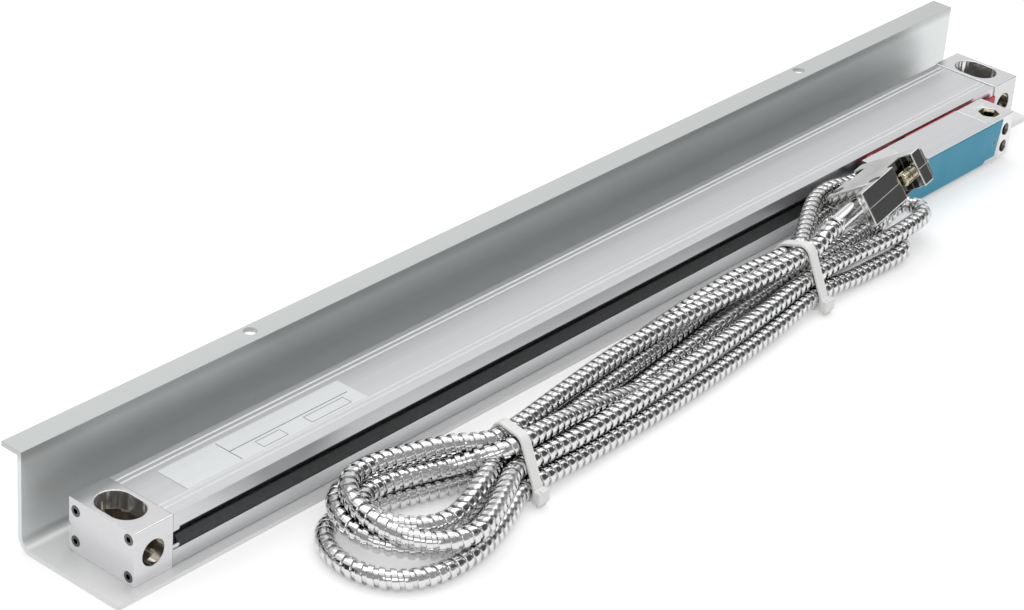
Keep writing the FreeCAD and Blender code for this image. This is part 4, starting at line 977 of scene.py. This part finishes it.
class SCALE_OT_connector(bpy.types.Operator):
    """Round the edges of the connector's hood and knurl its thumbscrews"""
    bl_idname = "scale.connector"
    bl_label = "Connector"

    def execute(self, context):
        def parting(point):
            return abs((point - PLUG_PLACE).dot(PLUG_TOP)) < 0.05 * MM

        softened("plug_hood_upper", 0.6, "hood_upper", 3, parting)
        softened("plug_hood_lower", 0.6, "hood_lower", 3, parting)
        knurled_screw("thumbscrew_left", "knurled_left", THUMB_SIDES[0])
        knurled_screw("thumbscrew_right", "knurled_right", THUMB_SIDES[1])
        return {"FINISHED"}


class SCALE_OT_caps(bpy.types.Operator):
    """Round the edges of both end caps"""
    bl_idname = "scale.caps"
    bl_label = "End caps"

    def execute(self, context):
        softened("left_end_cap", 0.3, "end_cap_left")
        softened("right_end_cap", 0.3, "end_cap_right")
        return {"FINISHED"}


class SCALE_OT_head(bpy.types.Operator):
    """Round the edges of the reading head's two mount blocks"""
    bl_idname = "scale.head"
    bl_label = "Reading head"

    def execute(self, context):
        for node in ("left_mount_block", "right_mount_block"):
            softened(node, 0.25)
        return {"FINISHED"}


def camera():
    """A camera at the photograph's place."""
    data = bpy.data.cameras.new("view")
    data.lens = VIEW_LENS
    data.sensor_width = 36.0
    data.sensor_fit = "HORIZONTAL"
    data.clip_start = 0.01
    data.clip_end = 50.0
    seen = link("view", data)
    right = Vector(VIEW_RIGHT)
    up = Vector(VIEW_UP)
    back = right.cross(up).normalized()
    right = up.cross(back).normalized()
    up = back.cross(right)
    turn = Matrix((right, up, back)).transposed().to_4x4()
    seen.matrix_world = Matrix.Translation(VIEW_PLACE) @ turn
    bpy.context.scene.camera = seen


def lamp(name, place, target, size, power):
    """A soft rectangular lamp that looks at a point."""
    data = bpy.data.lights.new(name, "AREA")
    data.shape = "RECTANGLE"
    data.size, data.size_y = size
    data.energy = power
    seen = link(name, data)
    aim = (Vector(target) - Vector(place)).to_track_quat("-Z", "Y")
    seen.matrix_world = Matrix.Translation(place) @ aim.to_matrix().to_4x4()


def studio_world():
    """White to the camera, a room with bright and dark patches to shiny surfaces, else even light."""
    world = bpy.data.worlds.new("studio")
    world.use_nodes = True
    bpy.context.scene.world = world
    nodes = Nodes(world.node_tree)
    nodes.tree.nodes.clear()
    facing = nodes.node("ShaderNodeTexCoord", {}, {}, "Generated")

    def patch(direction, outer, inner):
        """1 within the inner angle of a direction, falling to 0 at the outer angle, in degrees."""
        towards = nodes.vector("DOT_PRODUCT", facing, Vector(direction).normalized(), output="Value")
        return nodes.node("ShaderNodeMapRange", {"interpolation_type": "SMOOTHSTEP"}, {
            "Value": towards, "From Min": math.cos(math.radians(outer)),
            "From Max": math.cos(math.radians(inner)), "To Min": 0.0, "To Max": 1.0})

    up = nodes.parts(facing)[2]
    low = nodes.node("ShaderNodeMapRange", {"interpolation_type": "SMOOTHSTEP"}, {
        "Value": up, "From Min": 0.05, "From Max": 0.16, "To Min": 0.55, "To Max": 0.0})
    glossy = low + ROOM_LEVEL
    for direction, outer, inner, strength in BRIGHT_PATCHES:
        glossy = glossy + patch(direction, outer, inner) * strength
    for direction, outer, inner, strength in DARK_PATCHES:
        glossy = glossy * (1 - patch(direction, outer, inner) * strength)
    light = nodes.node("ShaderNodeLightPath", {}, {}, "Is Camera Ray")
    shiny = nodes.other(light, "Is Glossy Ray")
    level = light + (1 - light) * (shiny * glossy + (1 - shiny) * 0.62)
    out = nodes.node("ShaderNodeBackground", {}, {"Strength": level, "Color": (1, 1, 1, 1)})
    nodes.node("ShaderNodeOutputWorld", {}, {"Surface": out})


def floor():
    """A pale floor that shows white and keeps the object's shadow."""
    shape = bmesh.new()
    reach = 2.2
    drop = 0.05 * MM
    signs = ((-1, -1), (1, -1), (1, 1), (-1, 1))
    shape.faces.new([shape.verts.new((x * reach, y * reach, -drop)) for x, y in signs])
    piece = from_bmesh("floor", shape)
    material = bpy.data.materials.new("paper")
    material.use_nodes = True
    nodes = Nodes(material.node_tree)
    nodes.tree.nodes.clear()
    spots = nodes.node("ShaderNodeTexNoise", {}, {
        "Vector": nodes.node("ShaderNodeTexCoord", {}, {}, "Object"), "Scale": 30.0})
    paper = nodes.node("ShaderNodeMix", {"data_type": "RGBA"}, {
        0: spots, 6: (0.84, 0.84, 0.84, 1), 7: (0.86, 0.86, 0.86, 1)}, 2)
    plain = nodes.node("ShaderNodeBsdfDiffuse", {}, {"Color": paper})
    light = nodes.node("ShaderNodeLightPath", {}, {}, "Is Camera Ray")
    glossy = nodes.other(light, "Is Glossy Ray").maths("MAXIMUM", nodes.other(light, "Is Transmission Ray"))
    glow = nodes.node("ShaderNodeEmission", {}, {"Strength": light * 0.34 + glossy * 0.2})
    both = nodes.node("ShaderNodeAddShader", {}, {0: plain, 1: glow})
    nodes.node("ShaderNodeOutputMaterial", {}, {"Surface": both})
    piece.data.materials.append(material)


class SCALE_OT_stage(bpy.types.Operator):
    """Set up the camera, the lamps, the floor and the room"""
    bl_idname = "scale.stage"
    bl_label = "Stage"

    def execute(self, context):
        context.scene.view_settings.view_transform = "Standard"
        camera()
        lamp("key", (0.25, 0.35, 1.35), (0, 0, 0), (1.5, 1.1), 6.5)
        lamp("fill", (-1.1, -0.9, 0.9), (0, 0, 0), (0.9, 0.7), 2.2)
        studio_world()
        floor()
        return {"FINISHED"}


STEPS = (SCALE_OT_stage, SCALE_OT_finishes, SCALE_OT_caps, SCALE_OT_head, SCALE_OT_connector, SCALE_OT_cable)


class SCALE_PT_panel(bpy.types.Panel):
    """Sizes, colours and steps of the linear scale"""
    bl_idname = "SCALE_PT_panel"
    bl_label = "Linear scale"
    bl_space_type = "VIEW_3D"
    bl_region_type = "UI"
    bl_category = "Linear scale"

    def draw(self, context):
        for group in (context.scene.scale_cable, context.scene.scale_tie, context.scene.scale_colours):
            box = self.layout.box()
            for name in group.bl_rna.properties.keys():
                if name not in ("rna_type", "name"):
                    box.prop(group, name)
        for step in STEPS:
            self.layout.operator(step.bl_idname)


GROUPS = {"scale_cable": ScaleCable, "scale_tie": ScaleTie, "scale_colours": ScaleColours}


def register():
    for item in (*GROUPS.values(), *STEPS, SCALE_PT_panel):
        bpy.utils.register_class(item)
    for name, group in GROUPS.items():
        setattr(bpy.types.Scene, name, PointerProperty(type=group))


def unregister():
    for name in GROUPS:
        delattr(bpy.types.Scene, name)
    for item in (SCALE_PT_panel, *reversed(STEPS), *GROUPS.values()):
        bpy.utils.unregister_class(item)


def main():
    register()
    for step in STEPS:
        group, name = step.bl_idname.split(".")
        getattr(getattr(bpy.ops, group), name)()


if __name__ == "__main__":
    main()
